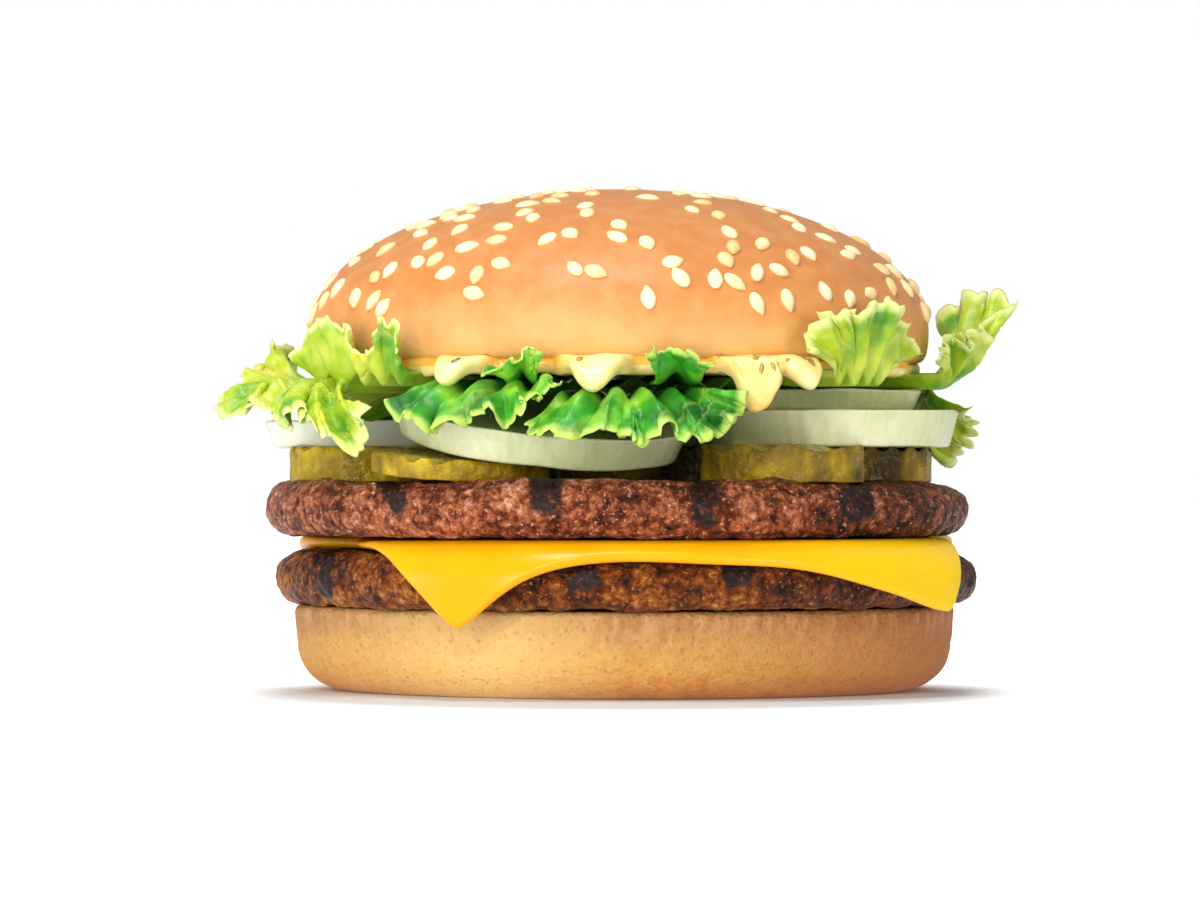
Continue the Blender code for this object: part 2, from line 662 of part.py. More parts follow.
def make_middle_leaf():
    """The wavy leaf in the middle of the stack, inside the roots of the others."""
    around = np.arange(LEAF_MIDDLE_COLUMNS) * 360.0 / LEAF_MIDDLE_COLUMNS
    mesh = sheet_mesh("leaf_middle", around, LEAF_MIDDLE_ROWS)
    points = points_of(mesh) * LEAF_MIDDLE_R
    points[:, 2] = relief(points, LEAF_MIDDLE_WAVE, LEAF_MIDDLE_SEED) - 0.5
    reshape(mesh, points)
    material = food_material("leaf_middle", LEAF_GREEN, 0.4)
    leaf = place("leaf_middle", mesh, material, (UPPER_X, 0.0, LEAF_MIDDLE_Z))
    thicken(leaf, LEAF_T)


def make_leaf(name, level, fold_r, squeeze, ruffles, depth, stations):
    mesh = bpy.data.meshes.new(name)
    build = bmesh.new()
    rows = BED_ROWS + FRILL_ROWS
    columns = COLUMNS_PER_STATION * (len(stations) - 1)
    bmesh.ops.create_grid(build, x_segments=columns, y_segments=rows, size=1.0)
    build.to_mesh(mesh)
    build.free()
    grid = 0.5 + 0.5 * points_of(mesh)
    row = grid[:, 1] * rows - BED_ROWS
    out = row / np.where(row > 0.0, FRILL_ROWS, BED_ROWS)
    bend = FALLING_BEND if name == FALLING_LEAF else (KNEE, DROOP)
    shape = (level, fold_r, squeeze, ruffles, depth, stations, *bend)
    reshape(mesh, leaf_points(grid[:, 0], out, *shape))
    material = food_material(name, LEAF_GREEN, 0.4)
    leaf = place(name, mesh, material, (UPPER_X, 0.0, 0.0))
    thicken(leaf, LEAF_T)


# Crown, the top half of the bun, with its sesame seeds baked on
CROWN_STEPS = 32
CROWN_EDGE_H = 4.9
CROWN_CUT_R = 45.6
CROWN_DOME_ANGLES = (80, 68, 56, 44, 32, 20, 8)
# The tucked-in edge under the dome, as (inset, height)
CROWN_TUCK = ((0.2, 3.3), (1.0, 1.3))
SEED_COUNT = 132
SEED_DRAW = 12
SEED_LENGTH = 3.8
SEED_WIDTH = 2.5
SEED_HEIGHT = 1.5
SEED_LOWEST = 0.12
SEED_SPACING = 3.4
GOLDEN_TURN = 137.508
# How far a seed strays from its place on the spiral, in height share and degrees
SEED_STRAY = 0.02
SEED_SWAY = 16.0
SEED_HIGHEST = 0.998
SEED_TAPER = 0.42
# Faces round and along a seed
SEED_AROUND = 5
SEED_ALONG = 3


def crown_profile():
    """A low dome, half an ellipse, over a tucked-in edge and a flat cut face."""
    dome_h = CROWN_H - CROWN_EDGE_H
    outline = [(0.0, CROWN_H)]
    for degrees in CROWN_DOME_ANGLES:
        angle = math.radians(degrees)
        outline.append((CROWN_R * math.cos(angle), CROWN_EDGE_H + dome_h * math.sin(angle)))
    outline += [(CROWN_R - inset, height) for inset, height in CROWN_TUCK]
    outline += [(CROWN_CUT_R, 0.0), (0.0, 0.0)]
    return outline


def seed_spots():
    """Places on the dome as (azimuth, height share, turn), by a jittered golden-angle spiral.

    A band of the dome grows with the square root of 1 + (share R / H)^2 - share^2, and the seeds
    take equal parts of the area below them, so they are as close at the top as at the side.
    """
    draw = np.random.default_rng(SEED_DRAW)
    shares = np.linspace(SEED_LOWEST, 1.0, 100)
    flatness = (CROWN_R / (CROWN_H - CROWN_EDGE_H)) ** 2 - 1.0
    area = np.cumsum(np.sqrt(1.0 + flatness * shares**2))
    spots = []
    for number in range(SEED_COUNT):
        part = 1.0 - (number + 0.5) / SEED_COUNT
        share = np.interp(area[0] + part * (area[-1] - area[0]), area, shares)
        share = min(share + draw.uniform(-SEED_STRAY, SEED_STRAY), SEED_HIGHEST)
        azimuth = GOLDEN_TURN * number + draw.uniform(-SEED_SWAY, SEED_SWAY)
        spots.append((azimuth, max(share, SEED_LOWEST), draw.uniform(0.0, 360.0)))
    return spots


def seed_mesh():
    """A flat teardrop: blunt at one end and drawn out to a point at the other."""
    mesh = sphere_mesh("sesame", SEED_AROUND, SEED_ALONG)
    unit = points_of(mesh)[:, [2, 0, 1]]
    taper = 1.0 - SEED_TAPER * np.clip(unit[:, 0], 0.0, 1.0) ** 2
    size = np.array([SEED_LENGTH, SEED_WIDTH, SEED_HEIGHT]) / 2.0
    points = unit * size
    points[:, 1] *= taper
    reshape(mesh, points)
    return mesh


def seed_turn(normal, turn_deg):
    """Lays a seed's flat side on the crust, turned about the crust's normal."""
    upright = mathutils.Vector(normal).to_track_quat("Z", "Y")
    return upright @ mathutils.Quaternion((0.0, 0.0, 1.0), math.radians(turn_deg))


def scatter_seeds(seeds):
    """Fills a collection with seeds half sunk in the dome, none nearer than their spacing."""
    grain = seed_mesh()
    dome_h = CROWN_H - CROWN_EDGE_H
    taken = []
    for azimuth, share, turn in seed_spots():
        east, north = direction(azimuth)
        ring = CROWN_R * math.sqrt(1.0 - share * share)
        spot = np.array([ring * east, ring * north, CROWN_EDGE_H + dome_h * share])
        if any(np.linalg.norm(spot - other) < SEED_SPACING for other in taken):
            continue
        taken.append(spot)
        normal = (ring * east / CROWN_R**2, ring * north / CROWN_R**2, share / dome_h)
        seed = bpy.data.objects.new("sesame", grain)
        seed.location = [value * MM for value in spot + (UPPER_X, 0.0, CROWN_Z)]
        seed.rotation_mode = "QUATERNION"
        seed.rotation_quaternion = seed_turn(normal, turn)
        seeds.objects.link(seed)


def make_crown():
    mesh = turned_mesh("top_bun", crown_profile(), CROWN_STEPS)
    material = food_material("crown_crust", (0.86, 0.47, 0.17), 0.42)
    crown = place("top_bun", mesh, material, (UPPER_X, 0.0, CROWN_Z))
    seeds = new_collection("seeds")
    scatter_seeds(seeds)
    fuse = crown.modifiers.new("seeds", "BOOLEAN")
    fuse.operation = "UNION"
    fuse.operand_type = "COLLECTION"
    fuse.collection = seeds
    fuse.solver = "MANIFOLD"
    bpy.context.view_layer.update()
    graph = bpy.context.evaluated_depsgraph_get()
    fused = bpy.data.meshes.new_from_object(crown.evaluated_get(graph))
    crown.modifiers.clear()
    crown.data = fused
    for seed in list(seeds.objects):
        bpy.data.objects.remove(seed)
    bpy.data.collections.remove(seeds)


clear_scene()
BURGER = new_collection("hamburger")
STACK = bpy.data.objects.new("stack", None)
BURGER.objects.link(STACK)

make_heel()
make_patty("lower_patty", LOWER_X, LOWER_PATTY_Z, LOWER_PATTY_SEED, (0.26, 0.12, 0.05))
make_cheese()
make_patty("upper_patty", UPPER_X, UPPER_PATTY_Z, UPPER_PATTY_SEED, (0.22, 0.08, 0.04))
for number, pickle in enumerate(PICKLES, start=1):
    make_pickle(number, *pickle)
for number, onion in enumerate(ONIONS, start=1):
    make_onion(number, *onion)
for leaf_name, leaf_shape in LEAVES.items():
    make_leaf(leaf_name, *leaf_shape)
make_middle_leaf()
make_sauce()
make_crown()
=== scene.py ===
import itertools
import math

import bpy
import mathutils
import numpy as np
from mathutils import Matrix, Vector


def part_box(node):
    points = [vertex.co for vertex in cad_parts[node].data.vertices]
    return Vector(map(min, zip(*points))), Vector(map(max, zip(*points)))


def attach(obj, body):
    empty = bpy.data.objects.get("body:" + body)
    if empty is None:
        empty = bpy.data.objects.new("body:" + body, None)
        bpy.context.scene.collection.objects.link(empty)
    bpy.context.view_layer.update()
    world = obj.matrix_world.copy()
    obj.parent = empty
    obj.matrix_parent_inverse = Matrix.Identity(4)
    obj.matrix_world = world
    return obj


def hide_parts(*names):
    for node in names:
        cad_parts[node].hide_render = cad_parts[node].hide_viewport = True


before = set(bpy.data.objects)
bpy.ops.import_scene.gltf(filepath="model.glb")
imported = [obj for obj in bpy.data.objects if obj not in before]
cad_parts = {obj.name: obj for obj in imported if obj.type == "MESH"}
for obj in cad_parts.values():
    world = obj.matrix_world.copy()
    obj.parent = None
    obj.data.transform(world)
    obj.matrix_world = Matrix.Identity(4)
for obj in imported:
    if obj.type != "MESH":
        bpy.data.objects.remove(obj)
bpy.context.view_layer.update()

MM = 0.001


# Heel, the bottom half of the bun: a baked crust that leans in over a flat foot, with a crisp
# rim where the bun was cut. Its side is finely wrinkled and porous, golden in the middle with pale
# peach streaks near the rim and browned at the foot. It is painted darker near the rim as painted
# shade under the patties, paler on the left as painted light, and browner on the right, partly baked
# so and partly painted shade. Lengths here are in millimetres unless a comment says so.
HEEL_R = 51.0
HEEL_FOOT_R = 43.5
HEEL_H = 12.9
HEEL_ROUNDING = 7.0
HEEL_LEAN = 0.4
HEEL_RIM_R = 1.0
HEEL_COLUMNS = 420
# Radii where the broad lumps and the fine wrinkles set in, and how far out they reach full height
HEEL_LUMPS = (30.0, 20.0)
HEEL_WRINKLES = (42.0, 7.0)
LATTICE_PRIMES = (73856093, 19349663, 83492791)
LATTICE_TABLE = 4096
WHITE = (1.0, 1.0, 1.0, 1.0)
BLACK = (0.0, 0.0, 0.0, 1.0)


def srgb(red, green, blue):
    """A colour from its three 0 to 255 screen values, each turned from screen to light by power."""
    light = [((value / 255.0 + 0.055) / 1.055) ** 2.4 for value in (red, green, blue)]
    return (*light, 1.0)


def direction(azimuth):
    """Unit x and y of an angle round the stack, in degrees from the front, positive to +X."""
    angle = np.radians(azimuth)
    return np.sin(angle), -np.cos(angle)


def ease(t):
    """Rises from 0 to 1 with level ends: t squared times three minus two t."""
    t = np.clip(t, 0.0, 1.0)
    return t * t * (3.0 - 2.0 * t)


def lattice_number(at):
    """A place in the table of random values for each lattice point, mixed from its coordinates."""
    return np.bitwise_xor.reduce(at * LATTICE_PRIMES, axis=-1) % LATTICE_TABLE


def cloudy(points, size, seed):
    """Smooth random relief from -1 to 1: random values on a lattice, blended between corners."""
    table = np.random.default_rng(seed).uniform(-1.0, 1.0, LATTICE_TABLE)
    cell = points / size
    base = np.floor(cell).astype(np.int64)
    part = ease(cell - base)
    total = 0.0
    for corner in itertools.product((0, 1), repeat=3):
        share = np.prod(np.where(corner, part, 1.0 - part), axis=-1)
        total = total + share * table[lattice_number(base + corner)]
    return total


def grid_faces(rows, columns, wrap):
    """Corner numbers of the quads between neighbouring points of a grid, joined round if wrapped."""
    across = np.arange(columns if wrap else columns - 1)
    down = np.arange(rows - 1)[:, None]
    right = (across + 1) % columns
    quads = [down * columns + across, (down + 1) * columns + across]
    quads += [(down + 1) * columns + right, down * columns + right]
    return np.stack(quads, axis=-1).reshape(-1, 4)


def skin_object(name, points, faces, finish):
    """A smooth-shaded object at the origin from points in millimetres and lists of faces."""
    mesh = bpy.data.meshes.new(name)
    mesh.from_pydata((points * MM).tolist(), [], faces)
    mesh.shade_smooth()
    mesh.materials.append(finish)
    skin = bpy.data.objects.new(name, mesh)
    bpy.context.scene.collection.objects.link(skin)
    return skin


def round_skin(name, rings, finish):
    """Closes rings of points, listed from the middle of the top to the middle of the bottom.

    The first and last rings are single points, so each is one vertex with a fan of triangles.
    """
    rows, columns = rings.shape[:2]
    body = rings[1:-1].reshape(-1, 3)
    points = np.vstack([body, rings[0].mean(axis=0), rings[-1].mean(axis=0)])
    here = np.arange(columns)
    after = (here + 1) % columns
    top = np.full(columns, len(body))
    last = (rows - 3) * columns
    crown = np.stack([top, here, after], axis=-1)
    foot = np.stack([top + 1, last + after, last + here], axis=-1)
    quads = grid_faces(rows - 2, columns, True)
    return skin_object(name, points, quads.tolist() + crown.tolist() + foot.tolist(), finish)


def ball(rows, columns):
    """Points of a ball of radius 1, in rows along x and columns round it."""
    polar = np.linspace(0.0, math.pi, rows)[:, None]
    around = np.linspace(0.0, 2.0 * math.pi, columns, endpoint=False)
    parts = [np.cos(polar) * np.ones(columns), np.sin(polar) * np.cos(around)]
    return np.stack([*parts, np.sin(polar) * np.sin(around)], axis=-1)


def scattered(name, pieces, finish):
    """One object of many closed grids alike, given as points by piece, row and column."""
    count, rows, columns = pieces.shape[:3]
    starts = (np.arange(count) * rows * columns)[:, None, None]
    faces = (grid_faces(rows, columns, True)[None] + starts).reshape(-1, 4)
    return skin_object(name, pieces.reshape(-1, 3), faces.tolist(), finish)


def store(skin, name, values):
    """Keeps one number for each vertex of a skin, for its finish to read."""
    layer = skin.data.attributes.new(name, "FLOAT", "POINT")
    layer.data.foreach_set("value", np.asarray(values, dtype=np.float32).ravel())


def paint(skin, name, values, caps):
    """Stores one number for each vertex of a round skin, its two caps last."""
    store(skin, name, np.append(values[1:-1], caps))


def outline_rings(radius, height, columns):
    """Turns an outline of radii and heights round the stack's axis into rings of points."""
    azimuth = np.linspace(0.0, 360.0, columns, endpoint=False)
    east, north = direction(azimuth)
    rings = [np.outer(radius, east), np.outer(radius, north)]
    rings.append(np.repeat(height[:, None], columns, axis=1))
    return np.stack(rings, axis=-1)


def wire(tree, kind, feeds=None, **settings):
    """Adds a shader node with these settings, its inputs fed from sockets or plain values."""
    made = tree.nodes.new("ShaderNode" + kind)
    for key, value in settings.items():
        setattr(made, key, value)
    for key, value in (feeds or {}).items():
        if isinstance(value, bpy.types.NodeSocket):
            tree.links.new(value, made.inputs[key])
        else:
            made.inputs[key].default_value = value
    return made


def new_finish(name, **sockets):
    """A Principled material with these even values, and its tree and shader for what varies."""
    finish = bpy.data.materials.new(name)
    finish.use_nodes = True
    shader = finish.node_tree.nodes["Principled BSDF"]
    for key, value in sockets.items():
        shader.inputs[key.replace("_", " ")].default_value = value
    return finish, finish.node_tree, shader


def ramp(tree, factor, *stops):
    """A colour that runs through these stops, each a place from 0 to 1 and a colour."""
    made = wire(tree, "ValToRGB", {"Fac": factor})
    elements = made.color_ramp.elements
    elements[0].position, elements[0].color = stops[0]
    elements[1].position, elements[1].color = stops[-1]
    for place, colour in stops[1:-1]:
        elements.new(place).color = colour
    return made.outputs["Color"]


def noise(tree, where, scale, detail=3.0, roughness=0.55):
    """Blotchy noise over a vector, at this many blotches a metre."""
    feeds = {"Vector": where, "Scale": scale, "Detail": detail, "Roughness": roughness}
    return wire(tree, "TexNoise", feeds).outputs["Fac"]


def math_of(tree, operation, first, second=0.0, third=0.0):
    """One sum of two values or sockets, or of three where the operation takes a third."""
    feeds = {0: first, 1: second, 2: third}
    return wire(tree, "Math", feeds, operation=operation).outputs["Value"]


def blend(tree, factor, first, second):
    """Two colours mixed by a factor."""
    made = wire(tree, "Mix", {0: factor, 6: first, 7: second}, data_type="RGBA")
    return made.outputs[2]


def tint(tree, mask, amount, colour, other):
    """A colour with another mixed in where the mask is white, by no more than this amount."""
    return blend(tree, math_of(tree, "MULTIPLY", mask, amount), colour, other)


def bump(tree, shader, height, strength, distance):
    """Relief finer than the mesh, of this depth in metres."""
    made = wire(tree, "Bump", {"Height": height, "Strength": strength, "Distance": distance})
    tree.links.new(made.outputs["Normal"], shader.inputs["Normal"])


def own_place(tree):
    """The piece's own coordinates, in metres."""
    return wire(tree, "TexCoord").outputs["Object"]


def along_axis(tree, where, axis):
    """One of the piece's own coordinates, in millimetres."""
    return math_of(tree, "DIVIDE", wire(tree, "SeparateXYZ", {0: where}).outputs[axis], MM)


def painted(tree, name):
    """The numbers that the skin keeps under this name."""
    return wire(tree, "Attribute", attribute_name=name).outputs["Fac"]


def stretched(tree, where, upright):
    """The piece's coordinates with their height scaled, so that noise over them runs upright."""
    return wire(tree, "Mapping", {"Vector": where, "Scale": (1.0, 1.0, upright)}).outputs["Vector"]


def heel_outline():
    """Flat top, a quarter round at the rim, a slightly leaning side, a quarter ellipse, flat foot."""
    turn = np.radians(np.linspace(90.0, 0.0, 9))
    drop = np.radians(np.linspace(0.0, 90.0, 26))
    side = np.linspace(HEEL_H - HEEL_RIM_R, HEEL_ROUNDING, 14)[1:-1]
    lean = HEEL_LEAN * ease((side - HEEL_ROUNDING) / (HEEL_H - HEEL_RIM_R - HEEL_ROUNDING))
    widest = HEEL_R - HEEL_LEAN
    cut = np.linspace(0.0, HEEL_R - HEEL_RIM_R, 9)[:-1]
    foot = np.linspace(HEEL_FOOT_R, 0.0, 6)[1:]
    radius = [cut, HEEL_R - HEEL_RIM_R * (1.0 - np.cos(turn)), widest + lean]
    radius += [HEEL_FOOT_R + (widest - HEEL_FOOT_R) * np.cos(drop), foot]
    height = [np.full_like(cut, HEEL_H), HEEL_H - HEEL_RIM_R * (1.0 - np.sin(turn)), side]
    height += [HEEL_ROUNDING * (1.0 - np.sin(drop)), np.zeros_like(foot)]
    return np.concatenate(radius), np.concatenate(height)


def heel_crust():
    finish, tree, shader = new_finish(
        "heel_crust", Subsurface_Weight=0.12, Subsurface_Radius=(0.0022, 0.0012, 0.0006), IOR=1.4
    )
    where = own_place(tree)
    share_up = math_of(tree, "DIVIDE", along_axis(tree, where, "Z"), HEEL_H)
    share_east = math_of(tree, "DIVIDE", along_axis(tree, where, "X"), HEEL_R)
    patches = noise(tree, where, 760.0, 6.0, 0.65)
    pores = wire(tree, "TexVoronoi", {"Vector": where, "Scale": 900.0}).outputs["Distance"]
    wander = math_of(tree, "MULTIPLY_ADD", noise(tree, where, 130.0), 0.30, -0.15)
    level = math_of(tree, "ADD", share_up, wander)
    # The ramp turns darker again near the top, towards the rim: painted shade under the overhanging
    # patties
    baked = ramp(
        tree, level,
        (0.0, srgb(160, 66, 6)), (0.1, srgb(198, 104, 30)), (0.28, srgb(206, 136, 58)),
        (0.46, srgb(206, 144, 68)), (0.62, srgb(200, 136, 72)), (0.8, srgb(162, 98, 56)),
        (1.0, srgb(154, 90, 52)),
    )
    spots = ramp(tree, patches, (0.35, srgb(230, 158, 62)), (0.62, srgb(255, 226, 136)))
    colour = blend(tree, 0.26, baked, spots)
    # Towards +X the crust turns browner, partly baked so and partly painted shade on the side turned from
    # the lamps; the paler band on the left is painted light
    browner = ramp(tree, share_east, (0.1, BLACK), (1.0, WHITE))
    colour = tint(tree, browner, 0.8, colour, srgb(184, 104, 50))
    share_west = math_of(tree, "MULTIPLY", share_east, -1.0)
    paler = ramp(tree, share_west, (0.0, BLACK), (0.4, WHITE), (0.9, BLACK))
    colour = tint(tree, paler, 0.65, colour, srgb(255, 216, 136))
    streaks = noise(tree, stretched(tree, where, 0.2), 700.0, 4.0)
    near_rim = ramp(tree, share_up, (0.55, BLACK), (0.9, WHITE))
    streaks = math_of(tree, "MULTIPLY", ramp(tree, streaks, (0.45, BLACK), (0.65, WHITE)), near_rim)
    colour = tint(tree, streaks, 0.35, colour, srgb(240, 190, 134))
    dark_pores = ramp(tree, pores, (0.0, WHITE), (0.32, BLACK))
    colour = tint(tree, dark_pores, 0.38, colour, srgb(190, 106, 36))
    tree.links.new(colour, shader.inputs["Base Color"])
    tree.links.new(math_of(tree, "MULTIPLY_ADD", patches, 0.2, 0.5), shader.inputs["Roughness"])
    fine = noise(tree, where, 1500.0, 6.0, 0.6)
    relief = math_of(tree, "SUBTRACT", fine, math_of(tree, "MULTIPLY", dark_pores, 0.35))
    bump(tree, shader, relief, 1.0, 0.0008)
    return finish


radius, height = heel_outline()
rings = outline_rings(radius, height, HEEL_COLUMNS)
azimuth = np.linspace(0.0, 360.0, HEEL_COLUMNS, endpoint=False)
angle = np.radians(azimuth)
east, north = direction(azimuth)
lumps = 0.5 * np.sin(3.0 * angle + 0.7) + 0.3 * np.sin(5.0 * angle + 2.0) + 0.35 * east - 0.4
skin = 0.14 * cloudy(rings * (1.0, 1.0, 0.35), 3.2, 1) + 0.09 * cloudy(rings, 1.3, 2)
skin += 0.22 * cloudy(rings, 9.0, 3)
# The right half has more wrinkles, which run upright
skin += 0.14 * cloudy(rings * (1.0, 1.0, 0.5), 2.1, 4) * ease(rings[..., 0] / 30.0)
push = ease((radius - HEEL_LUMPS[0]) / HEEL_LUMPS[1])[:, None] * lumps
push = push + ease((radius - HEEL_WRINKLES[0]) / HEEL_WRINKLES[1])[:, None] * (skin - 0.1)
rings[..., 0] += push * east
rings[..., 1] += push * north
heel = round_skin("heel", rings, heel_crust())
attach(heel, "root")
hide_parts("bottom_bun")


# Patties, flame-grilled minced beef: flat slabs with a half-round rim, crumbled into grains and
# moist, the lower one brown and the upper one redder, with black bars where the grill pressed.
PATTY_R = 54.8
PATTY_H = 8.0
PATTY_RIM_R = PATTY_H / 2.0
# How deep the crags go, how far the skin stands off its solid, and how far its faces bulge
PATTY_CRAG = 1.15
PATTY_FULL = 0.25
PATTY_RAISE = 0.55
# Sizes of what the crags are made of
LUMP = 6.0
KNOB = 3.3
GRAIN = 2.1
CRUMB = 1.0
SPECK = 0.6
PATTY_COLUMNS = 1080
# Radii where the shoulder sinks and the crest rises, and how far right the crest goes
PATTY_SHOULDER_R = 48.0
PATTY_CREST_R = 46.0
PATTY_CREST_END = 42.0
# Half width of a bar of the grill, and how far its foot reaches down the rim
GRILL_BAR = 2.3
GRILL_FOOT = 2.6


def pebbles(points, size, seed):
    """Rounded grains from 0 between them to 1 on top: nearness to scattered lattice points."""
    table = np.random.default_rng(seed).uniform(0.0, 1.0, (LATTICE_TABLE, 3))
    cell = points / size
    base = np.floor(cell).astype(np.int64)
    nearest = np.full(points.shape[:-1], 9.0)
    for corner in itertools.product((-1, 0, 1), repeat=3):
        at = base + corner
        gap = at + table[lattice_number(at)] - cell
        nearest = np.minimum(nearest, (gap * gap).sum(axis=-1))
    return np.clip(1.0 - nearest, 0.0, 1.0)


def patty_reach(azimuth, seed):
    """Outline of a patty: its radius plus four slow waves with seeded phases."""
    angle = np.radians(azimuth)
    phase = np.random.default_rng(seed).uniform(0.0, 2.0 * math.pi, 4)
    wave = 0.8 * np.sin(2.0 * angle + phase[0]) + 0.6 * np.sin(3.0 * angle + phase[1])
    wave += 0.35 * np.sin(5.0 * angle + phase[2]) + 0.3 * np.sin(9.0 * angle + phase[3])
    return PATTY_R + 0.5 * wave


def beef(name, deep, mid, light, fat):
    finish, tree, shader = new_finish(name, Specular_IOR_Level=0.26)
    where = own_place(tree)
    char = painted(tree, "char")
    fine = noise(tree, where, 1100.0, 6.0, 0.7)
    patches = math_of(tree, "MULTIPLY", noise(tree, where, 110.0, 4.0), 0.4)
    tone = math_of(tree, "MULTIPLY_ADD", fine, 0.7, patches)
    # Darker between the grains: painted shade in the crevices
    tone = math_of(tree, "ADD", tone, math_of(tree, "MULTIPLY_ADD", painted(tree, "grain"), 0.26, -0.2))
    # Darker towards +X: painted shade on the side of the patty turned from the lamps
    darker = math_of(tree, "MULTIPLY_ADD", along_axis(tree, where, "X"), 0.055 / PATTY_R, 0.012)
    tone = math_of(tree, "SUBTRACT", tone, darker)
    meat = ramp(tree, tone, (0.34, deep), (0.48, mid), (0.6, light), (0.74, fat))
    # Pale specks: partly pale grains in the meat, partly painted glints on its wet surface
    specks = ramp(tree, noise(tree, where, 1700.0, 2.0, 0.5), (0.63, BLACK), (0.69, WHITE))
    meat = tint(tree, specks, 0.6, meat, fat)
    burnt = ramp(tree, fine, (0.42, srgb(6, 1, 0)), (0.58, srgb(44, 12, 4)), (0.7, srgb(140, 62, 36)))
    tree.links.new(blend(tree, char, meat, burnt), shader.inputs["Base Color"])
    wet = noise(tree, where, 500.0, 3.0)
    shine = ramp(tree, wet, (0.42, (0.5, 0.5, 0.5, 1)), (0.56, (0.1, 0.1, 0.1, 1)))
    shine = tint(tree, char, 0.6, shine, (0.65, 0.65, 0.65, 1))
    tree.links.new(shine, shader.inputs["Roughness"])
    grainy, coarse = noise(tree, where, 1300.0, 6.0, 0.7), noise(tree, where, 480.0, 3.0, 0.5)
    relief = tint(tree, char, 0.85, grainy, coarse)
    bump(tree, shader, relief, 0.9, 0.0012)
    return finish


def patty_slope():
    """Share of the way from the axis to the rim's circle, and the turn round that circle."""
    flat = np.linspace(0.0, 1.0, 20) ** 0.8
    inward = np.concatenate([flat, np.ones(56), np.linspace(1.0, 0.0, 8)])
    turn = np.concatenate([np.full(20, 90.0), np.linspace(89.0, -88.0, 56), np.full(8, -90.0)])
    return inward, np.radians(turn)


def patty(name, node, centre_x, seed, grill, crest, finish):
    """A slab whose rim is about a half circle, crumbled all over into lumps, grains and crags.

    The bars of the grill lie a pitch apart along a turned x axis, and end in a rounded foot.
    The crest is how far the top of the rim stands up in waves.
    """
    low, high = (corner.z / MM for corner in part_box(node))
    azimuth = np.linspace(0.0, 360.0, PATTY_COLUMNS, endpoint=False)
    east, north = direction(azimuth)
    inward, turn = patty_slope()
    rim_reach = (PATTY_RIM_R * np.cos(turn) * (inward > 0.0))[:, None]
    radius = np.outer(inward, patty_reach(azimuth, seed) - PATTY_RIM_R) + rim_reach
    height = np.repeat((PATTY_RIM_R * np.sin(turn))[:, None], PATTY_COLUMNS, axis=1)
    rings = np.stack([radius * east, radius * north, height], axis=-1)
    lumps = 0.5 + 0.5 * cloudy(rings, LUMP, seed)
    grains = pebbles(rings + 1.2 * lumps[..., None], GRAIN, seed + 20)
    crumbs = pebbles(rings, CRUMB, seed + 30)
    specks = 0.5 + 0.5 * cloudy(rings, SPECK, seed + 60)
    first, pitch, slant = grill
    along_x = rings[..., 0] * math.cos(slant) + rings[..., 1] * math.sin(slant) + centre_x - first
    off_bar = (along_x + pitch / 2.0) % pitch - pitch / 2.0 + 1.3 * cloudy(rings, 3.2, seed + 40)
    off_bar += 0.8 * cloudy(rings, 1.1, seed + 80)
    below = np.maximum(0.9 - rings[..., 2] + 1.6 * cloudy(rings * (1.0, 1.0, 0.2), 9.0, seed + 70), 0.0)
    char = ease((1.2 - np.hypot(off_bar / GRILL_BAR, below / GRILL_FOOT)) / 0.4)
    char *= ease((cloudy(rings, 1.7, seed + 85) + 0.85) / 0.4)
    knobs = 0.5 + 0.5 * cloudy(rings, KNOB, seed + 95)
    relief = 0.7 * lumps + 0.55 * knobs + 0.4 * (1.0 - grains) + 0.2 * (1.0 - crumbs) + 0.12 * specks
    depth = PATTY_CRAG * relief * (1.0 - 0.3 * char) + 0.35 * char - PATTY_FULL
    out, up = np.cos(turn)[:, None], np.sin(turn)[:, None]
    rings[..., 0] -= depth * out * east
    rings[..., 1] -= depth * out * north
    shoulder = ease((radius - PATTY_SHOULDER_R) / 5.0)
    shoulder *= 0.55 + 0.75 * ease(rings[..., 0] / PATTY_R)
    bulge = PATTY_RAISE * (1.0 - 1.6 * shoulder * (up > 0.0))
    bulge += 0.4 * cloudy(rings, 8.0, seed + 90) * (up > 0.3)
    crest = crest * ease((radius - PATTY_CREST_R) / 4.0)
    crest *= ease((PATTY_CREST_END - rings[..., 0]) / 12.0)
    bulge += crest * (0.6 + cloudy(rings, 5.5, seed + 97)) * ease(up / 0.8)
    rings[..., 2] += (bulge - 0.75 * depth) * up
    rings += (centre_x, 0.0, (low + high) / 2.0)
    slab = round_skin(name, rings, finish)
    # The grains' height, which the finish turns darker between them as painted shade
    paint(slab, "grain", grains * (0.55 + 0.45 * crumbs), (0.5, 0.5))
    paint(slab, "char", char, (0.5, 0.5))
    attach(slab, "root")
    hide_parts(node)


LOWER_PATTY_SEED = 3
UPPER_PATTY_SEED = 8
LOWER_X = 0.5
UPPER_X = -0.8
# Grill bars: place of one, the pitch between them and their slant in plan, in radians
LOWER_GRILL = (5.6, 22.05, -0.225)
UPPER_GRILL = (11.3, 23.1, 0.0)
brown_beef = beef("brown_beef", srgb(28, 7, 0), srgb(98, 40, 4), srgb(160, 82, 16), srgb(226, 160, 80))
red_beef = beef("red_beef", srgb(34, 7, 2), srgb(112, 46, 20), srgb(190, 106, 64), srgb(248, 196, 160))
patty("lower_beef", "lower_patty", LOWER_X, LOWER_PATTY_SEED, LOWER_GRILL, 0.0, brown_beef)
patty("upper_beef", "upper_patty", UPPER_X, UPPER_PATTY_SEED, UPPER_GRILL, 0.8, red_beef)


# Cheese, one half-melted slice: it lies flat on the lower patty, follows the rim down and
# hangs in four soft corners. The sheet is smooth, saturated yellow and a little glossy.
CHEESE_T = 1.8
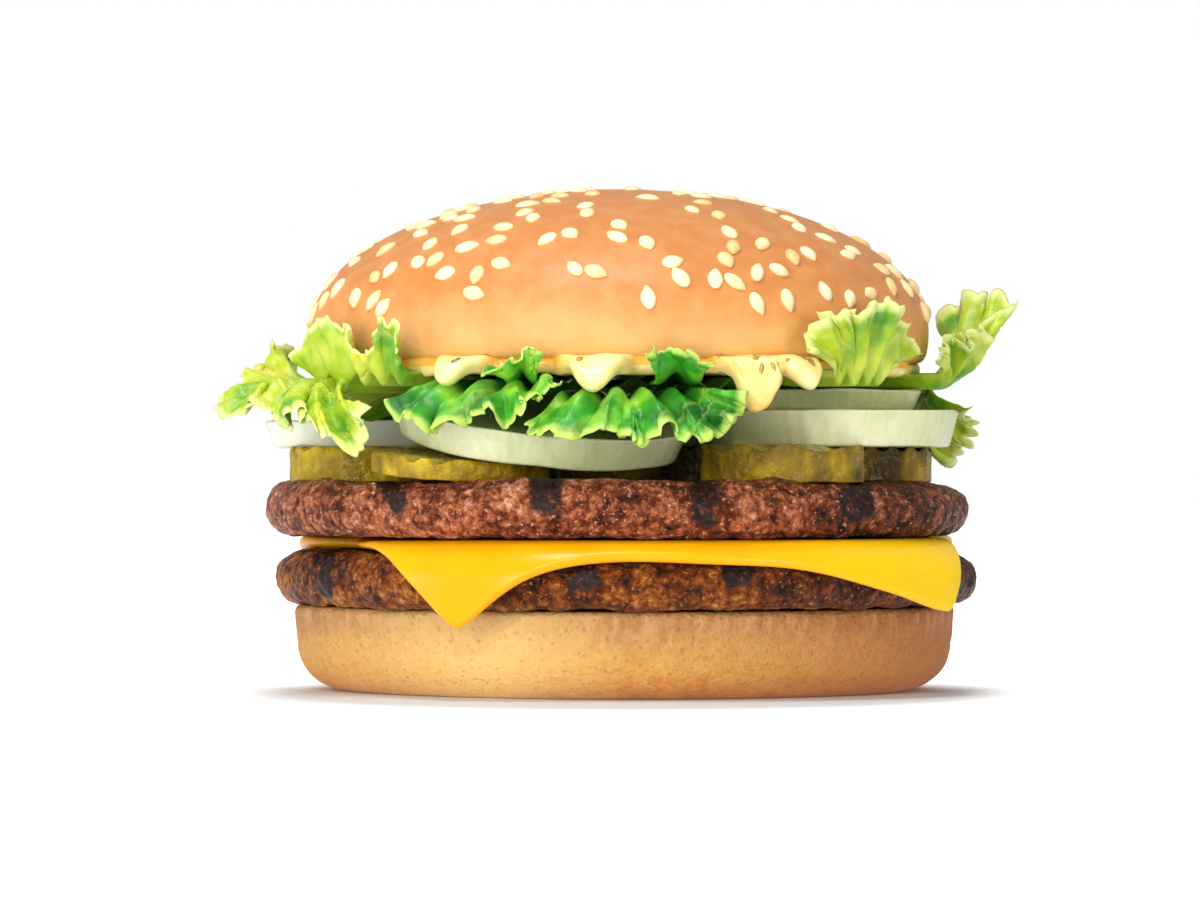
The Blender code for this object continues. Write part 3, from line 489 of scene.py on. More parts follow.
# Each corner: azimuth, how far it hangs past the rim, and its half width to either side.
# Each side where the slice stops short: azimuth, by how much, and half width
CHEESE_CORNERS = (
    (-26.2, 11.6, 10.0, 10.0),
    (56.0, 9.3, 25.0, 5.5),
    (152.0, 10.5, 13.0, 12.0),
    (-125.0, 8.0, 12.0, 9.0),
)
CHEESE_SIDES = ((-75.0, 10.5, 26.0), (86.0, 10.5, 17.0), (-162.0, 2.5, 20.0))
CHEESE_MELTED = 6.0
# Where the edge is thinner, on the left: azimuth and half width
CHEESE_THIN = (-66.0, 24.0)
CHEESE_COLUMNS = 360


def turn_between(azimuth, centre):
    """Signed angle from a centre to an azimuth, between -180 and 180 degrees."""
    return (azimuth - centre + 180.0) % 360.0 - 180.0


def drape(azimuth, travel, lip, bend_r, flare):
    """A sheet that runs out level to its lip, round a quarter bend, then straight down."""
    past = np.maximum(travel - lip, 0.0)
    turn = np.clip(past / bend_r, 0.0, math.pi / 2.0 - flare)
    hang = np.maximum(past - bend_r * (math.pi / 2.0 - flare), 0.0)
    radius = np.minimum(travel, lip) + bend_r * np.sin(turn) + hang * math.sin(flare)
    height = -bend_r * (1.0 - np.cos(turn)) - hang * math.cos(flare)
    east, north = direction(azimuth)
    return np.stack([radius * east, radius * north, height], axis=-1)


def thick_disc(name, middle, thick, finish):
    """Gives a disc of rings two faces, half its thickness either way along its normal.

    middle runs from the centre out, and the outermost ring is shared by both faces.
    """
    rows, columns = middle.shape[:2]
    around = np.roll(middle, -1, axis=1) - np.roll(middle, 1, axis=1)
    outward = np.gradient(middle, axis=0)
    normal = np.cross(outward, around)
    normal[0] = (0.0, 0.0, 1.0)
    normal /= np.maximum(np.linalg.norm(normal, axis=-1, keepdims=True), 1e-9)
    half = 0.5 * thick[..., None] * normal
    top = middle + half
    under = (middle - half)[-2::-1]
    return round_skin(name, np.concatenate([top, under]), finish)


def cheese_reach(azimuth):
    """How far the slice runs: the patty's outline, hanging corners and sides that stop short."""
    reach = patty_reach(azimuth, LOWER_PATTY_SEED) + 0.2
    for corner, extra, left, right in CHEESE_CORNERS:
        off = turn_between(azimuth, corner)
        width = np.where(off < 0.0, left, right)
        reach = reach + extra * np.exp(-((np.abs(off) / width) ** 1.4))
    for side, missing, width in CHEESE_SIDES:
        reach = reach - missing * np.exp(-((turn_between(azimuth, side) / width) ** 2))
    return reach + 0.25 * np.sin(np.radians(azimuth * 11.0)) * np.sin(np.radians(azimuth * 4.0))


def melted_cheese():
    finish, tree, shader = new_finish(
        "melted_cheese",
        Subsurface_Weight=0.15, Subsurface_Radius=(0.003, 0.0016, 0.0003), Specular_IOR_Level=0.22,
    )
    where = own_place(tree)
    blotches = noise(tree, where, 45.0, 2.0)
    colour = ramp(tree, blotches, (0.35, srgb(244, 158, 0)), (0.65, srgb(248, 172, 0)))
    share_east = math_of(tree, "DIVIDE", along_axis(tree, where, "X"), PATTY_R)
    # Paler yellow towards +X: painted light on the side of the slice that faces away from the lamps
    paler = ramp(tree, share_east, (0.3, BLACK), (0.9, WHITE))
    tree.links.new(blend(tree, paler, colour, srgb(248, 204, 10)), shader.inputs["Base Color"])
    rough = math_of(tree, "MULTIPLY_ADD", noise(tree, where, 240.0, 3.0), 0.2, 0.14)
    tree.links.new(rough, shader.inputs["Roughness"])
    bump(tree, shader, noise(tree, where, 160.0, 2.0), 0.12, 0.0006)
    return finish


azimuth = np.linspace(0.0, 360.0, CHEESE_COLUMNS, endpoint=False)
reach = cheese_reach(azimuth)
lip = patty_reach(azimuth, LOWER_PATTY_SEED) - PATTY_RIM_R
flat = np.minimum(lip, reach - CHEESE_MELTED)
edge = 1.0 - (1.0 - np.linspace(0.0, 1.0, 44)) ** 1.5
travel = np.outer(np.linspace(0.0, 1.0, 12)[:-1], flat)
travel = np.vstack([travel, flat + np.outer(edge, reach - flat)])
middle = drape(azimuth[None, :], travel, lip[None, :], PATTY_RIM_R + 0.9 + CHEESE_T / 2.0, 0.06)
middle += (LOWER_X, 0.0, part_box("cheese_slice")[1].z / MM - CHEESE_T / 2.0)
hang = ease((travel - lip) / 9.0)
middle[..., :2] *= (1.0 + 0.006 * hang * cloudy(middle, 8.0, 61))[..., None]
to_edge = (reach - travel) / (CHEESE_T / 2.0)
thick = CHEESE_T * np.sqrt(1.0 - np.clip(1.0 - to_edge, 0.0, 1.0) ** 2)
thinner = np.exp(-((turn_between(azimuth, CHEESE_THIN[0]) / CHEESE_THIN[1]) ** 2))
thick *= 1.0 - 0.5 * thinner * ease((travel - 40.0) / 8.0)
cheese = thick_disc("cheese", middle, thick, melted_cheese())
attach(cheese, "root")
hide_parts("cheese_slice")


# Pickles, crinkle-cut slices of dill cucumber lying on the upper patty. The wavy blade leaves
# ridges across both faces, the skin is olive and finely warted, and brine keeps it all wet.
CRINKLE = 0.4
CRINKLE_PITCH = 3.3
# The front slice on the right is cut along its waves, so that they show as broad scallops
BROAD_SLICE = 3
BROAD_CRINKLE = 0.6
BROAD_PITCH = 7.5
PICKLE_COLUMNS = 220
PICKLE_ROUNDING = 0.5
PICKLE_LEVEL = 31.9
# How much a slice of pickle or onion outgrows its solid, since its relief is cut in afterwards
SWELL = 0.3
# Each slice: centre, radius, thickness, height of its underside above the patty, tilt to x and y
PICKLES = (
    (-37.3, -6.0, 13.8, 4.9, 0.0, 0.0, 0.0),
    (-24.0, -31.0, 13.6, 2.6, 1.1, -0.05, 0.07),
    (24.0, -31.0, 12.5, 4.9, 0.0, 0.0, 0.0),
    (35.6, -5.0, 12.6, 4.9, 0.0, 0.0, 0.0),
    (22.0, 26.0, 13.0, 4.9, 0.0, 0.0, 0.0),
    (-8.0, 37.5, 12.8, 4.9, 0.0, 0.0, 0.0),
    (-31.0, 24.5, 12.8, 4.9, 0.0, 0.0, 0.0),
    (2.0, 8.0, 12.5, 4.9, 0.0, 0.0, 0.0),
)


def slab_rings(radius, thick, rounding, columns):
    """A round slab: level faces joined to an upright side by quarter rounds.

    Also gives each ring's outward and upward share, the cosine and sine of its slope.
    """
    face = np.linspace(0.0, 1.0, 16)[:-1]
    turn = np.radians(np.linspace(90.0, 0.0, 9))
    side = np.linspace(1.0, -1.0, 14)[1:-1]
    inner, half = radius - rounding, thick / 2.0
    quarter = inner + rounding * np.cos(turn)
    drop = half - rounding * (1.0 - np.sin(turn))
    level, upright = np.full_like(face, half), np.full_like(face, math.pi / 2.0)
    out = [face * inner, quarter, np.full_like(side, radius), quarter[::-1], face[::-1] * inner]
    up = [level, drop, side * (half - rounding), -drop[::-1], -level]
    slope = np.concatenate([upright, turn, np.zeros_like(side), -turn[::-1], -upright])
    rings = outline_rings(np.concatenate(out), np.concatenate(up), columns)
    return rings, np.cos(slope)[:, None], np.sin(slope)[:, None]


def lay_down(rings, level, centre_x, centre_y, thick, lift, tilt_x, tilt_y):
    """Tilts a slab about its middle and sets it down at its place on the stack."""
    lean = mathutils.Euler((math.atan(tilt_y), -math.atan(tilt_x), 0.0)).to_matrix()
    return rings @ np.array(lean).T + (UPPER_X + centre_x, centre_y, level + lift + thick / 2.0)


def brined_pickle():
    finish, tree, shader = new_finish(
        "brined_pickle",
        Subsurface_Weight=0.2, Subsurface_Radius=(0.002, 0.0018, 0.0004), Specular_IOR_Level=0.3,
    )
    where = own_place(tree)
    streaks = noise(tree, stretched(tree, where, 0.5), 260.0, 4.0)
    patches = noise(tree, where, 110.0, 3.0)
    tone = math_of(tree, "MULTIPLY_ADD", streaks, 0.45, math_of(tree, "MULTIPLY", patches, 0.55))
    # Darker towards +X: painted shade on the side turned from the lamps
    darker = math_of(tree, "MULTIPLY_ADD", along_axis(tree, where, "X"), 0.001, 0.02)
    tone = math_of(tree, "SUBTRACT", tone, darker)
    rind = ramp(tree, tone, (0.36, srgb(80, 62, 2)), (0.5, srgb(150, 120, 2)), (0.63, srgb(204, 174, 20)))
    pulp = ramp(tree, patches, (0.3, srgb(128, 112, 36)), (0.7, srgb(172, 158, 72)))
    colour = blend(tree, painted(tree, "flesh"), rind, pulp)
    tree.links.new(colour, shader.inputs["Base Color"])
    wet = noise(tree, where, 420.0, 2.0)
    brine = ramp(tree, wet, (0.48, (0.55, 0.55, 0.55, 1.0)), (0.56, (0.1, 0.1, 0.1, 1.0)))
    tree.links.new(brine, shader.inputs["Roughness"])
    bump(tree, shader, noise(tree, where, 620.0, 3.0), 0.9, 0.0009)
    return finish


pickle_finish = brined_pickle()
for number, (x, y, radius, thick, lift, tilt_x, tilt_y) in enumerate(PICKLES, start=1):
    rings, out, up = slab_rings(radius, thick + SWELL, PICKLE_ROUNDING, PICKLE_COLUMNS)
    azimuth = np.arctan2(rings[..., 1], rings[..., 0])
    plan = 1.0 + 0.02 * np.sin(3.0 * azimuth + number) - 0.02
    plan = plan - out * 0.02 * (0.5 + 0.5 * cloudy(rings * (1.0, 1.0, 0.2), 2.0, 80 + number))
    cut = math.radians(35.0 + 40.0 * number)
    across = rings[..., 0] * math.cos(cut) + rings[..., 1] * math.sin(cut)
    broad = number == BROAD_SLICE
    crinkle, pitch = (BROAD_CRINKLE, BROAD_PITCH) if broad else (CRINKLE, CRINKLE_PITCH)
    wave = crinkle * np.sin(2.0 * math.pi * (across / pitch + 0.15 * cloudy(rings, 7.0, 84 + number)))
    near_top = np.clip(rings[..., 2] / (thick / 2.0), -0.3, 1.0)
    rings[..., 2] += wave * near_top * np.abs(near_top) - CRINKLE * 0.5 * up - 0.3 * (up < 0.0)
    rings[..., :2] *= plan[..., None]
    rings += 0.12 * cloudy(rings, 1.4, 90 + number)[..., None] * rings / radius
    flesh = ease((radius - 0.9 - np.hypot(rings[..., 0], rings[..., 1])) / 1.2)
    laid = lay_down(rings, PICKLE_LEVEL, x, y, thick, lift, tilt_x, tilt_y)
    slice_skin = round_skin(f"pickle_slice_{number}", laid, pickle_finish)
    paint(slice_skin, "flesh", flesh, (1.0, 1.0))
    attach(slice_skin, "root")
    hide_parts(f"pickle_{number}")


# Onion, thick raw slices cut across the bulb: tight white rings, tinted green towards the
# core, with a sloping side of fine upright fibres that shows pale and translucent.
ONION_SLOPE = 0.07
ONION_RING = 2.9
ONION_COLUMNS = 260
ONION_ROUNDING = 0.45
ONION_GROOVE = 0.35
ONION_LEVEL = 37.1
# The slice on the left, in the leaves' shade, takes a paler copy of the onion finish: painted light
WHITE_SLICE = 1
# Each slice: centre, radius, thickness, height of its underside above the pickles, tilt to x and y
ONIONS = (
    (-35.0, 9.0, 20.2, 3.9, 0.0, 0.0, 0.0),
    (-12.0, -27.5, 22.2, 4.6, 0.1, -0.10, 0.158),
    (31.5, -16.0, 19.8, 5.2, 0.0, 0.0, 0.0),
    (27.0, -6.0, 19.5, 2.9, 5.5, 0.0, 0.0),
    (8.0, 27.0, 21.5, 4.6, 0.0, 0.0, 0.0),
)


def raw_onion(name, fibre, flesh, core):
    finish, tree, shader = new_finish(
        name, Subsurface_Weight=0.5, Subsurface_Radius=(0.003, 0.003, 0.0018),
        Coat_Weight=0.3, Coat_Roughness=0.15, Roughness=0.3,
    )
    where = own_place(tree)
    fibres = noise(tree, stretched(tree, where, 0.1), 900.0, 4.0, 0.6)
    pale = ramp(tree, fibres, (0.34, fibre), (0.6, flesh))
    green = ramp(tree, noise(tree, where, 55.0, 2.0), (0.4, core), (0.62, flesh))
    tree.links.new(blend(tree, 0.45, pale, green), shader.inputs["Base Color"])
    bump(tree, shader, fibres, 0.08, 0.0003)
    return finish


green_onion = raw_onion("green_onion", srgb(202, 201, 154), srgb(222, 222, 184), srgb(180, 194, 122))
# A paler copy of the same onion: painted light for the slice that lies in shade
white_onion = raw_onion("white_onion", srgb(240, 240, 218), srgb(248, 248, 234), srgb(230, 238, 206))
for number, (x, y, radius, thick, lift, tilt_x, tilt_y) in enumerate(ONIONS, start=1):
    rings, out, up = slab_rings(radius, thick + SWELL, ONION_ROUNDING, ONION_COLUMNS)
    azimuth = np.arctan2(rings[..., 1], rings[..., 0])
    plan = 1.0 + 0.012 * np.sin(2.0 * azimuth + number) - 0.012
    plan = plan * (1.0 - ONION_SLOPE * (0.5 - rings[..., 2] / thick))
    plan = plan - out * 0.004 * (0.5 + 0.5 * cloudy(rings * (1.0, 1.0, 0.12), 0.9, 100 + number))
    layer = np.hypot(rings[..., 0], rings[..., 1]) / ONION_RING
    layer += 0.15 * cloudy(rings, 9.0, 110 + number)
    groove = np.abs(np.sin(math.pi * layer)) ** 0.35
    rings[..., 2] -= up * ONION_GROOVE * (1.0 - groove)
    rings[..., :2] *= plan[..., None]
    rings[..., 2] += up * 0.2 * cloudy(rings, 6.0, 120 + number)
    laid = lay_down(rings, ONION_LEVEL, x, y, thick, lift, tilt_x, tilt_y)
    finish = white_onion if number == WHITE_SLICE else green_onion
    slice_skin = round_skin(f"onion_slice_{number}", laid, finish)
    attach(slice_skin, "root")
    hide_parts(f"onion_{number}")


# Lettuce, curly green leaves laid between onion and sauce. Each is a thin ribbed sheet whose
# rim is far longer than its root, so it ruffles, curls over and ends in a pale torn frill.
LEAF_T = 0.6
LEAF_RIM_T = 0.34
LEAF_INNER_R = 30.0
BED_ROWS = 5
FRILL_ROWS = 54
# Each leaf: level of its bed, radius where it leaves the bed, how much narrower its root is,
# number and depth of its ruffles, and its rim as (azimuth, radius, height)
LEAVES = {
    "leaf_left": (
        46.2, 48.5, 0.62, 7.0, 1.5,
        ((-114.0, 53.6, 52.1), (-106.0, 54.8, 52.9), (-97.0, 56.8, 50.6), (-91.0, 57.2, 47.1),
         (-86.0, 60.5, 44.9), (-79.7, 61.5, 41.3), (-72.0, 59.2, 43.5), (-64.5, 58.3, 42.7),
         (-57.9, 58.3, 40.5), (-53.0, 58.0, 42.5), (-48.0, 58.0, 37.6), (-42.5, 57.0, 37.2),
         (-39.9, 56.5, 41.7)),
    ),
    "leaf_left_upper": (
        47.1, 49.7, 0.9, 4.0, 0.6,
        ((-69.4, 51.9, 50.1), (-64.8, 52.2, 54.2), (-56.1, 52.5, 55.7), (-50.2, 52.2, 53.5),
         (-45.3, 52.6, 50.0), (-40.9, 53.0, 56.4), (-37.5, 53.1, 50.9)),
    ),
    "leaf_front_left": (
        45.6, 47.6, 0.8, 5.0, 1.0,
        ((-37.5, 56.0, 43.0), (-32.5, 56.6, 40.6), (-27.7, 56.9, 38.9), (-21.5, 57.0, 42.0),
         (-17.0, 56.9, 40.2), (-13.5, 55.5, 43.9), (-9.6, 54.5, 45.2)),
    ),
    "leaf_front_left_upper": (
        47.1, 49.7, 0.75, 3.0, 0.5,
        ((-22.5, 52.9, 48.9), (-18.5, 53.4, 48.9), (-15.0, 53.3, 50.9), (-12.8, 52.8, 51.0)),
    ),
    "leaf_front": (
        44.4, 47.6, 0.7, 7.0, 1.0,
        ((-15.4, 55.4, 39.7), (-8.8, 55.7, 38.3), (-3.5, 55.7, 39.0), (0.5, 56.0, 38.4),
         (3.3, 56.2, 36.9), (7.6, 56.5, 39.3), (11.7, 56.8, 37.2), (15.0, 57.0, 39.4),
         (17.6, 57.2, 41.6), (18.4, 57.6, 44.5)),
    ),
    "leaf_front_upper": (
        47.1, 49.7, 0.75, 3.0, 0.5,
        ((4.4, 53.0, 50.2), (7.3, 53.4, 50.9), (11.5, 53.4, 49.9), (14.6, 53.6, 48.6)),
    ),
    "leaf_right": (
        47.1, 49.7, 0.42, 5.0, 0.8,
        ((30.2, 53.4, 50.6), (31.0, 53.2, 53.4), (34.5, 52.9, 56.0), (38.9, 52.9, 56.0),
         (44.0, 52.9, 57.5), (50.0, 53.0, 57.2), (60.0, 52.2, 51.5)),
    ),
    "leaf_far_right": (
        47.1, 49.7, 0.55, 6.0, 1.1,
        ((65.3, 51.8, 50.2), (72.5, 51.8, 53.6), (78.5, 53.6, 53.0), (84.0, 56.2, 53.6),
         (90.0, 56.2, 55.8), (94.7, 60.2, 59.7), (98.7, 58.6, 60.6), (104.5, 55.6, 60.3),
         (110.0, 55.2, 58.6), (113.0, 55.2, 56.1)),
    ),
    "leaf_right_low": (
        46.2, 48.5, 0.6, 3.0, 0.9,
        ((92.5, 54.0, 42.5), (97.5, 55.6, 40.6), (102.5, 56.0, 37.4), (108.0, 55.2, 35.2),
         (113.0, 54.4, 38.2)),
    ),
    "leaf_back_right": (
        46.2, 48.5, 0.9, 5.0, 1.6,
        ((122.0, 55.5, 44.5), (130.0, 57.5, 40.5), (140.0, 57.0, 42.5), (150.0, 57.5, 39.0),
         (161.0, 55.5, 44.5)),
    ),
    "leaf_back": (
        46.2, 48.5, 0.9, 5.0, 1.6,
        ((166.0, 55.5, 43.5), (175.0, 57.0, 39.0), (184.0, 57.5, 42.5), (192.0, 57.0, 38.5),
         (199.0, 55.5, 44.0)),
    ),
    "leaf_back_left": (
        46.2, 48.5, 0.9, 5.0, 1.6,
        ((216.0, 55.5, 44.5), (224.0, 57.5, 39.5), (231.0, 57.5, 43.0), (238.0, 58.0, 39.0),
         (243.0, 56.5, 43.0)),
    ),
    "leaf_back_left_upper": (
        47.1, 49.7, 0.85, 4.0, 0.7,
        ((218.0, 52.8, 50.4), (225.0, 53.6, 55.5), (233.0, 53.2, 53.0), (240.0, 53.2, 49.6)),
    ),
    "leaf_back_upper": (
        47.1, 49.7, 0.85, 4.0, 0.7,
        ((126.0, 52.6, 50.4), (137.0, 53.3, 55.0), (150.0, 53.0, 54.5), (166.0, 52.6, 50.4)),
    ),
}
# Relief of a leaf, each its height and its length along the rim
RIPPLE = (0.9, 8.0)
FOLD = (0.7, 9.5)
CURL = (0.8, 4.3)
TOOTH = (1.1, 3.4)
# Height and size of the blisters between the veins, and the depth of a vein
BLISTER = (0.32, 2.6)
SMALL_BLISTER = (0.12, 1.2)
VEIN_DEPTH = 0.25
# The front leaves take the shaded copy of the leaf finish: painted shade
SHADED_LEAVES = ("leaf_front_left", "leaf_front_left_upper", "leaf_front", "leaf_front_upper")
# Where a leaf bends past its bed and how it droops, and the same for the one leaf that falls
# at once, behind the onion
LEAF_BEND = (0.7, 2.0)
FALLING_LEAF = "leaf_right_low"
FALLING_BEND = (0.0, 0.6)
# The bed of the left leaf sinks between the onions, clear of the slice that leans on it
SAG = 4.2
SAG_FROM = (-12.8, -27.5)
SAG_CLEAR_R = 24.0


def along(stations, share):
    """Values between stations on a smooth curve through all of them (a Catmull-Rom spline)."""
    table = np.array(stations)
    last = len(table) - 1
    place = share * last
    index = np.minimum(place.astype(int), last - 1)
    t = (place - index)[..., None]
    first, second = table[index], table[index + 1]
    enter = (second - table[np.maximum(index - 1, 0)]) / 2.0
    leave = (table[np.minimum(index + 2, last)] - first) / 2.0
    rise = second - first
    return first + t * (enter + t * (3.0 * rise - 2.0 * enter - leave + t * (enter + leave - 2.0 * rise)))


def leaf_sheet(share, out, level, fold_r, squeeze, stations, knee, droop):
    """A leaf's middle surface, smooth, over its width (share) and from root to rim (out).

    It lies level to the fold radius. Past it, each column bends down, or up more steeply, to its
    place on the rim, while its azimuth swings from the narrower root to the rim.
    """
    rim = along(stations, share)
    middle = (stations[0][0] + stations[-1][0]) / 2.0
    root = middle + (rim[..., 0] - middle) * squeeze
    bed = np.clip(1.0 + out, 0.0, 1.0)
    past = np.clip(out, 0.0, 1.0)
    knee_r = fold_r + knee * (rim[..., 1] - fold_r)
    radius = LEAF_INNER_R + (fold_r - LEAF_INNER_R) * bed
    radius += 2.0 * past * (1.0 - past) * (knee_r - fold_r) + past**2 * (rim[..., 1] - fold_r)
    height = level + (rim[..., 2] - level) * past ** np.where(rim[..., 2] > level, 1.2, droop)
    east, north = direction(root + (rim[..., 0] - root) * past**2)
    return np.stack([radius * east, radius * north, height], axis=-1)


def unit(vectors):
    """The same directions at length 1."""
    return vectors / np.maximum(np.linalg.norm(vectors, axis=-1, keepdims=True), 1e-9)


def axes_of(sheet):
    """Unit vectors across a sheet of points, out towards its rim, and square to its face."""
    across = unit(np.gradient(sheet, axis=1))
    outward = unit(np.gradient(sheet, axis=0))
    return across, outward, unit(np.cross(across, outward))


def sheet_skin(name, middle, thick, finish):
    """A closed sheet: both faces lie half the thickness off the middle and share its border."""
    rows, columns = middle.shape[:2]
    _, _, normal = axes_of(middle)
    half = 0.5 * thick[..., None] * normal
    inside = np.zeros((rows, columns), dtype=bool)
    inside[1:-1, 1:-1] = True
    front = np.where(inside[..., None], middle + half, middle).reshape(-1, 3)
    back = (middle - half)[inside]
    number = np.arange(rows * columns)
    other = number.copy()
    other[inside.ravel()] = len(number) + np.arange(len(back))
    quads = grid_faces(rows, columns, False)
    faces = np.vstack([quads[:, ::-1], other[quads]])
    skin = skin_object(name, np.vstack([front, back]), faces.tolist(), finish)
    return skin, inside


def leaf_green(name, shade, deep, mid, light, margin):
    finish, tree, shader = new_finish(
        name, Subsurface_Weight=0.35, Subsurface_Radius=(0.0012, 0.0024, 0.0004),
        Specular_IOR_Level=0.4, Roughness=0.38,
    )
    where = own_place(tree)
    frill = painted(tree, "frill")
    fine = noise(tree, where, 900.0, 3.0)
    body = ramp(tree, noise(tree, where, 130.0, 3.0), (0.32, deep), (0.5, mid), (0.68, light))
    body = tint(tree, painted(tree, "vein"), 0.4, body, margin)
    edge = math_of(tree, "ADD", frill, math_of(tree, "MULTIPLY", fine, 0.08))
    rim = ramp(tree, edge, (0.92, BLACK), (1.04, WHITE))
    colour = tint(tree, rim, 0.75, body, margin)
    # Darker green towards the root, where the leaf runs in under the layers above: painted shade, as
    # strong as the shade amount
    inner = ramp(tree, frill, (0.0, WHITE), (0.45, BLACK))
    colour = tint(tree, inner, shade, colour, deep)
    tree.links.new(colour, shader.inputs["Base Color"])
    bump(tree, shader, fine, 0.25, 0.0003)
    return finish


# Two copies of one leaf finish: a lit one, and a shaded one with darker tones and more painted shade at
# the root
leaf_tones = (srgb(82, 156, 32), srgb(172, 196, 40), srgb(208, 214, 76), srgb(232, 236, 158))
bright_green = leaf_green("bright_leaf", 0.3, *leaf_tones)
leaf_tones = (srgb(10, 90, 20), srgb(62, 158, 34), srgb(144, 204, 52), srgb(206, 230, 112))
deep_green = leaf_green("shaded_leaf", 0.7, *leaf_tones)
for number, (node, (level, fold_r, squeeze, ruffles, depth, stations)) in enumerate(LEAVES.items()):
    columns = 32 * len(stations)
    share = np.linspace(0.0, 1.0, columns)
    out = np.concatenate([np.linspace(-1.0, 0.0, BED_ROWS)[:-1], np.linspace(0.0, 1.0, FRILL_ROWS)])
    share, out = np.meshgrid(share, out)
    bend = FALLING_BEND if node == FALLING_LEAF else LEAF_BEND
    sheet = leaf_sheet(share, out, level, fold_r, squeeze, stations, *bend)
    past = np.clip(out, 0.0, 1.0)
    run = np.cumsum(np.linalg.norm(np.gradient(sheet[-1], axis=0), axis=-1))[None, :]
    key = np.stack([run + 0.0 * past, 9.0 * past, np.full_like(past, 40.0 * number)], axis=-1)
    across, outward, normal = axes_of(sheet)
    phase = 2.0 * math.pi * ruffles * share + 1.4 * cloudy(key, 9.0, 130)
    sheet = sheet + (depth * past**1.4 * np.sin(phase))[..., None] * normal
    sheet = sheet + (0.4 * depth * past**1.4 * np.sin(2.0 * phase))[..., None] * across
    ripple = np.sin(2.0 * math.pi * (run / RIPPLE[1] + 0.3 * cloudy(key, 9.0, 139)) + number)
    sheet[..., 2] += RIPPLE[0] * ripple * ease(2.0 - 2.0 * past) * ease(2.0 + 2.0 * out)
    if node == "leaf_left":
        off_onion = np.hypot(sheet[..., 0] - SAG_FROM[0], sheet[..., 1] - SAG_FROM[1])
        in_from_fold = fold_r - 1.5 - np.hypot(sheet[..., 0], sheet[..., 1])
        sheet[..., 2] -= SAG * ease((off_onion - SAG_CLEAR_R) / 5.0) * ease(in_from_fold / 4.0)
    across, outward, normal = axes_of(sheet)
    turn = 2.0 * math.pi * run / FOLD[1] + 2.6 * cloudy(key, 8.0, 153) + number
    sheet = sheet + (FOLD[0] * past**2.5 * np.sin(turn))[..., None] * normal
    across, outward, normal = axes_of(sheet)
    curl = 2.0 * math.pi * run / CURL[1] + 2.6 * cloudy(key, 5.0, 131)
    strength = CURL[0] * past**3 * (0.7 + 0.8 * cloudy(key, 6.0, 132))
    sheet = sheet + (strength * np.sin(curl))[..., None] * normal
    sheet = sheet + (0.5 * strength * np.sin(2.0 * curl))[..., None] * across
    teeth = np.abs(np.sin(math.pi * run / TOOTH[1] + 2.4 * cloudy(key, 5.0, 133))) ** 0.5
    teeth = TOOTH[0] * teeth + cloudy(key * (1.0, 0.0, 1.0), 1.1, 134) + 0.6 * cloudy(key, 6.0, 154)
    sheet = sheet + ((teeth - 0.7) * past**5)[..., None] * outward
    across, outward, normal = axes_of(sheet)
    blisters = BLISTER[0] * cloudy(sheet, BLISTER[1], 135)
    blisters += SMALL_BLISTER[0] * cloudy(sheet, SMALL_BLISTER[1], 136)
    fan = np.stack([run * (0.45 + 0.55 * past), 2.0 * past, 0.0 * past + number], axis=-1)
    vein = cloudy(fan + 0.6 * cloudy(key, 4.0, 137)[..., None], 4.2, 138)
    vein = ease(1.0 - 7.0 * np.abs(vein))
    sheet = sheet + ((blisters - VEIN_DEPTH * vein) * ease(past * 3.0))[..., None] * normal
    sheet[..., 0] += UPPER_X
    border = ease(np.minimum(share, 1.0 - share) * 40.0) * ease((1.0 - past) * 12.0)
    thick = (LEAF_RIM_T + (LEAF_T - LEAF_RIM_T) * (1.0 - past)) * (0.35 + 0.65 * border)
    finish = deep_green if node in SHADED_LEAVES else bright_green
    leaf, inside = sheet_skin(node.replace("leaf", "lettuce"), sheet, thick, finish)
    for layer, values in (("frill", past), ("vein", vein * (1.0 - 0.6 * past))):
        store(leaf, layer, np.append(values, values[inside]))
    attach(leaf, "root")
    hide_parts(node)

# The middle leaf is a crumpled round sheet that fills the inside of the bed
MIDDLE_R = 29.0
MIDDLE_FLAT_R = 20.0
MIDDLE_Z = 46.5
MIDDLE_T = 0.5
MIDDLE_COLUMNS = 300
azimuth = np.linspace(0.0, 360.0, MIDDLE_COLUMNS, endpoint=False)
inner, outer = np.linspace(0.0, MIDDLE_FLAT_R, 16), np.linspace(MIDDLE_FLAT_R, MIDDLE_R, 24)[1:]
radius = np.concatenate([inner, outer])
east, north = direction(azimuth)
blank = np.zeros((len(radius), MIDDLE_COLUMNS))
middle = np.stack([np.outer(radius, east), np.outer(radius, north), blank], axis=-1)
crumple = 0.45 * cloudy(middle, 8.0, 150) + 0.2 * cloudy(middle, 3.0, 151)
frill = np.sin(np.radians(22.0 * azimuth) + 1.5 * cloudy(middle, 9.0, 152))
middle[..., 2] = MIDDLE_Z + crumple + 0.95 * frill * ease((radius[:, None] - 17.0) / 11.0)
thick = blank + MIDDLE_T
thick[-1] = 0.0
# The middle leaf takes the shaded copy, and its frill share of 0.3 makes it partly dark: painted shade
leaf = thick_disc("lettuce_middle", middle + (UPPER_X, 0.0, 0.0), thick, deep_green)
blank = np.vstack([blank, blank[1:]])
paint(leaf, "frill", blank + 0.3, (0.3, 0.3))
paint(leaf, "vein", blank, (0.0, 0.0))
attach(leaf, "root")
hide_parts("leaf_middle")


# Sauce, pale mayonnaise with chopped pickle relish: spread to near the bun's edge under the
# crown, it spills over in a few thick rounded runs that carry dark olive bits.
SAUCE_T = 1.8
SAUCE_LIP = 48.6
SAUCE_BEND_R = 3.2
SAUCE_BODY_R = 46.2
SAUCE_FLAT_R = 41.0
SAUCE_MID_Z = 48.6
SAUCE_FLARE = 0.35
SAUCE_COLUMNS = 480
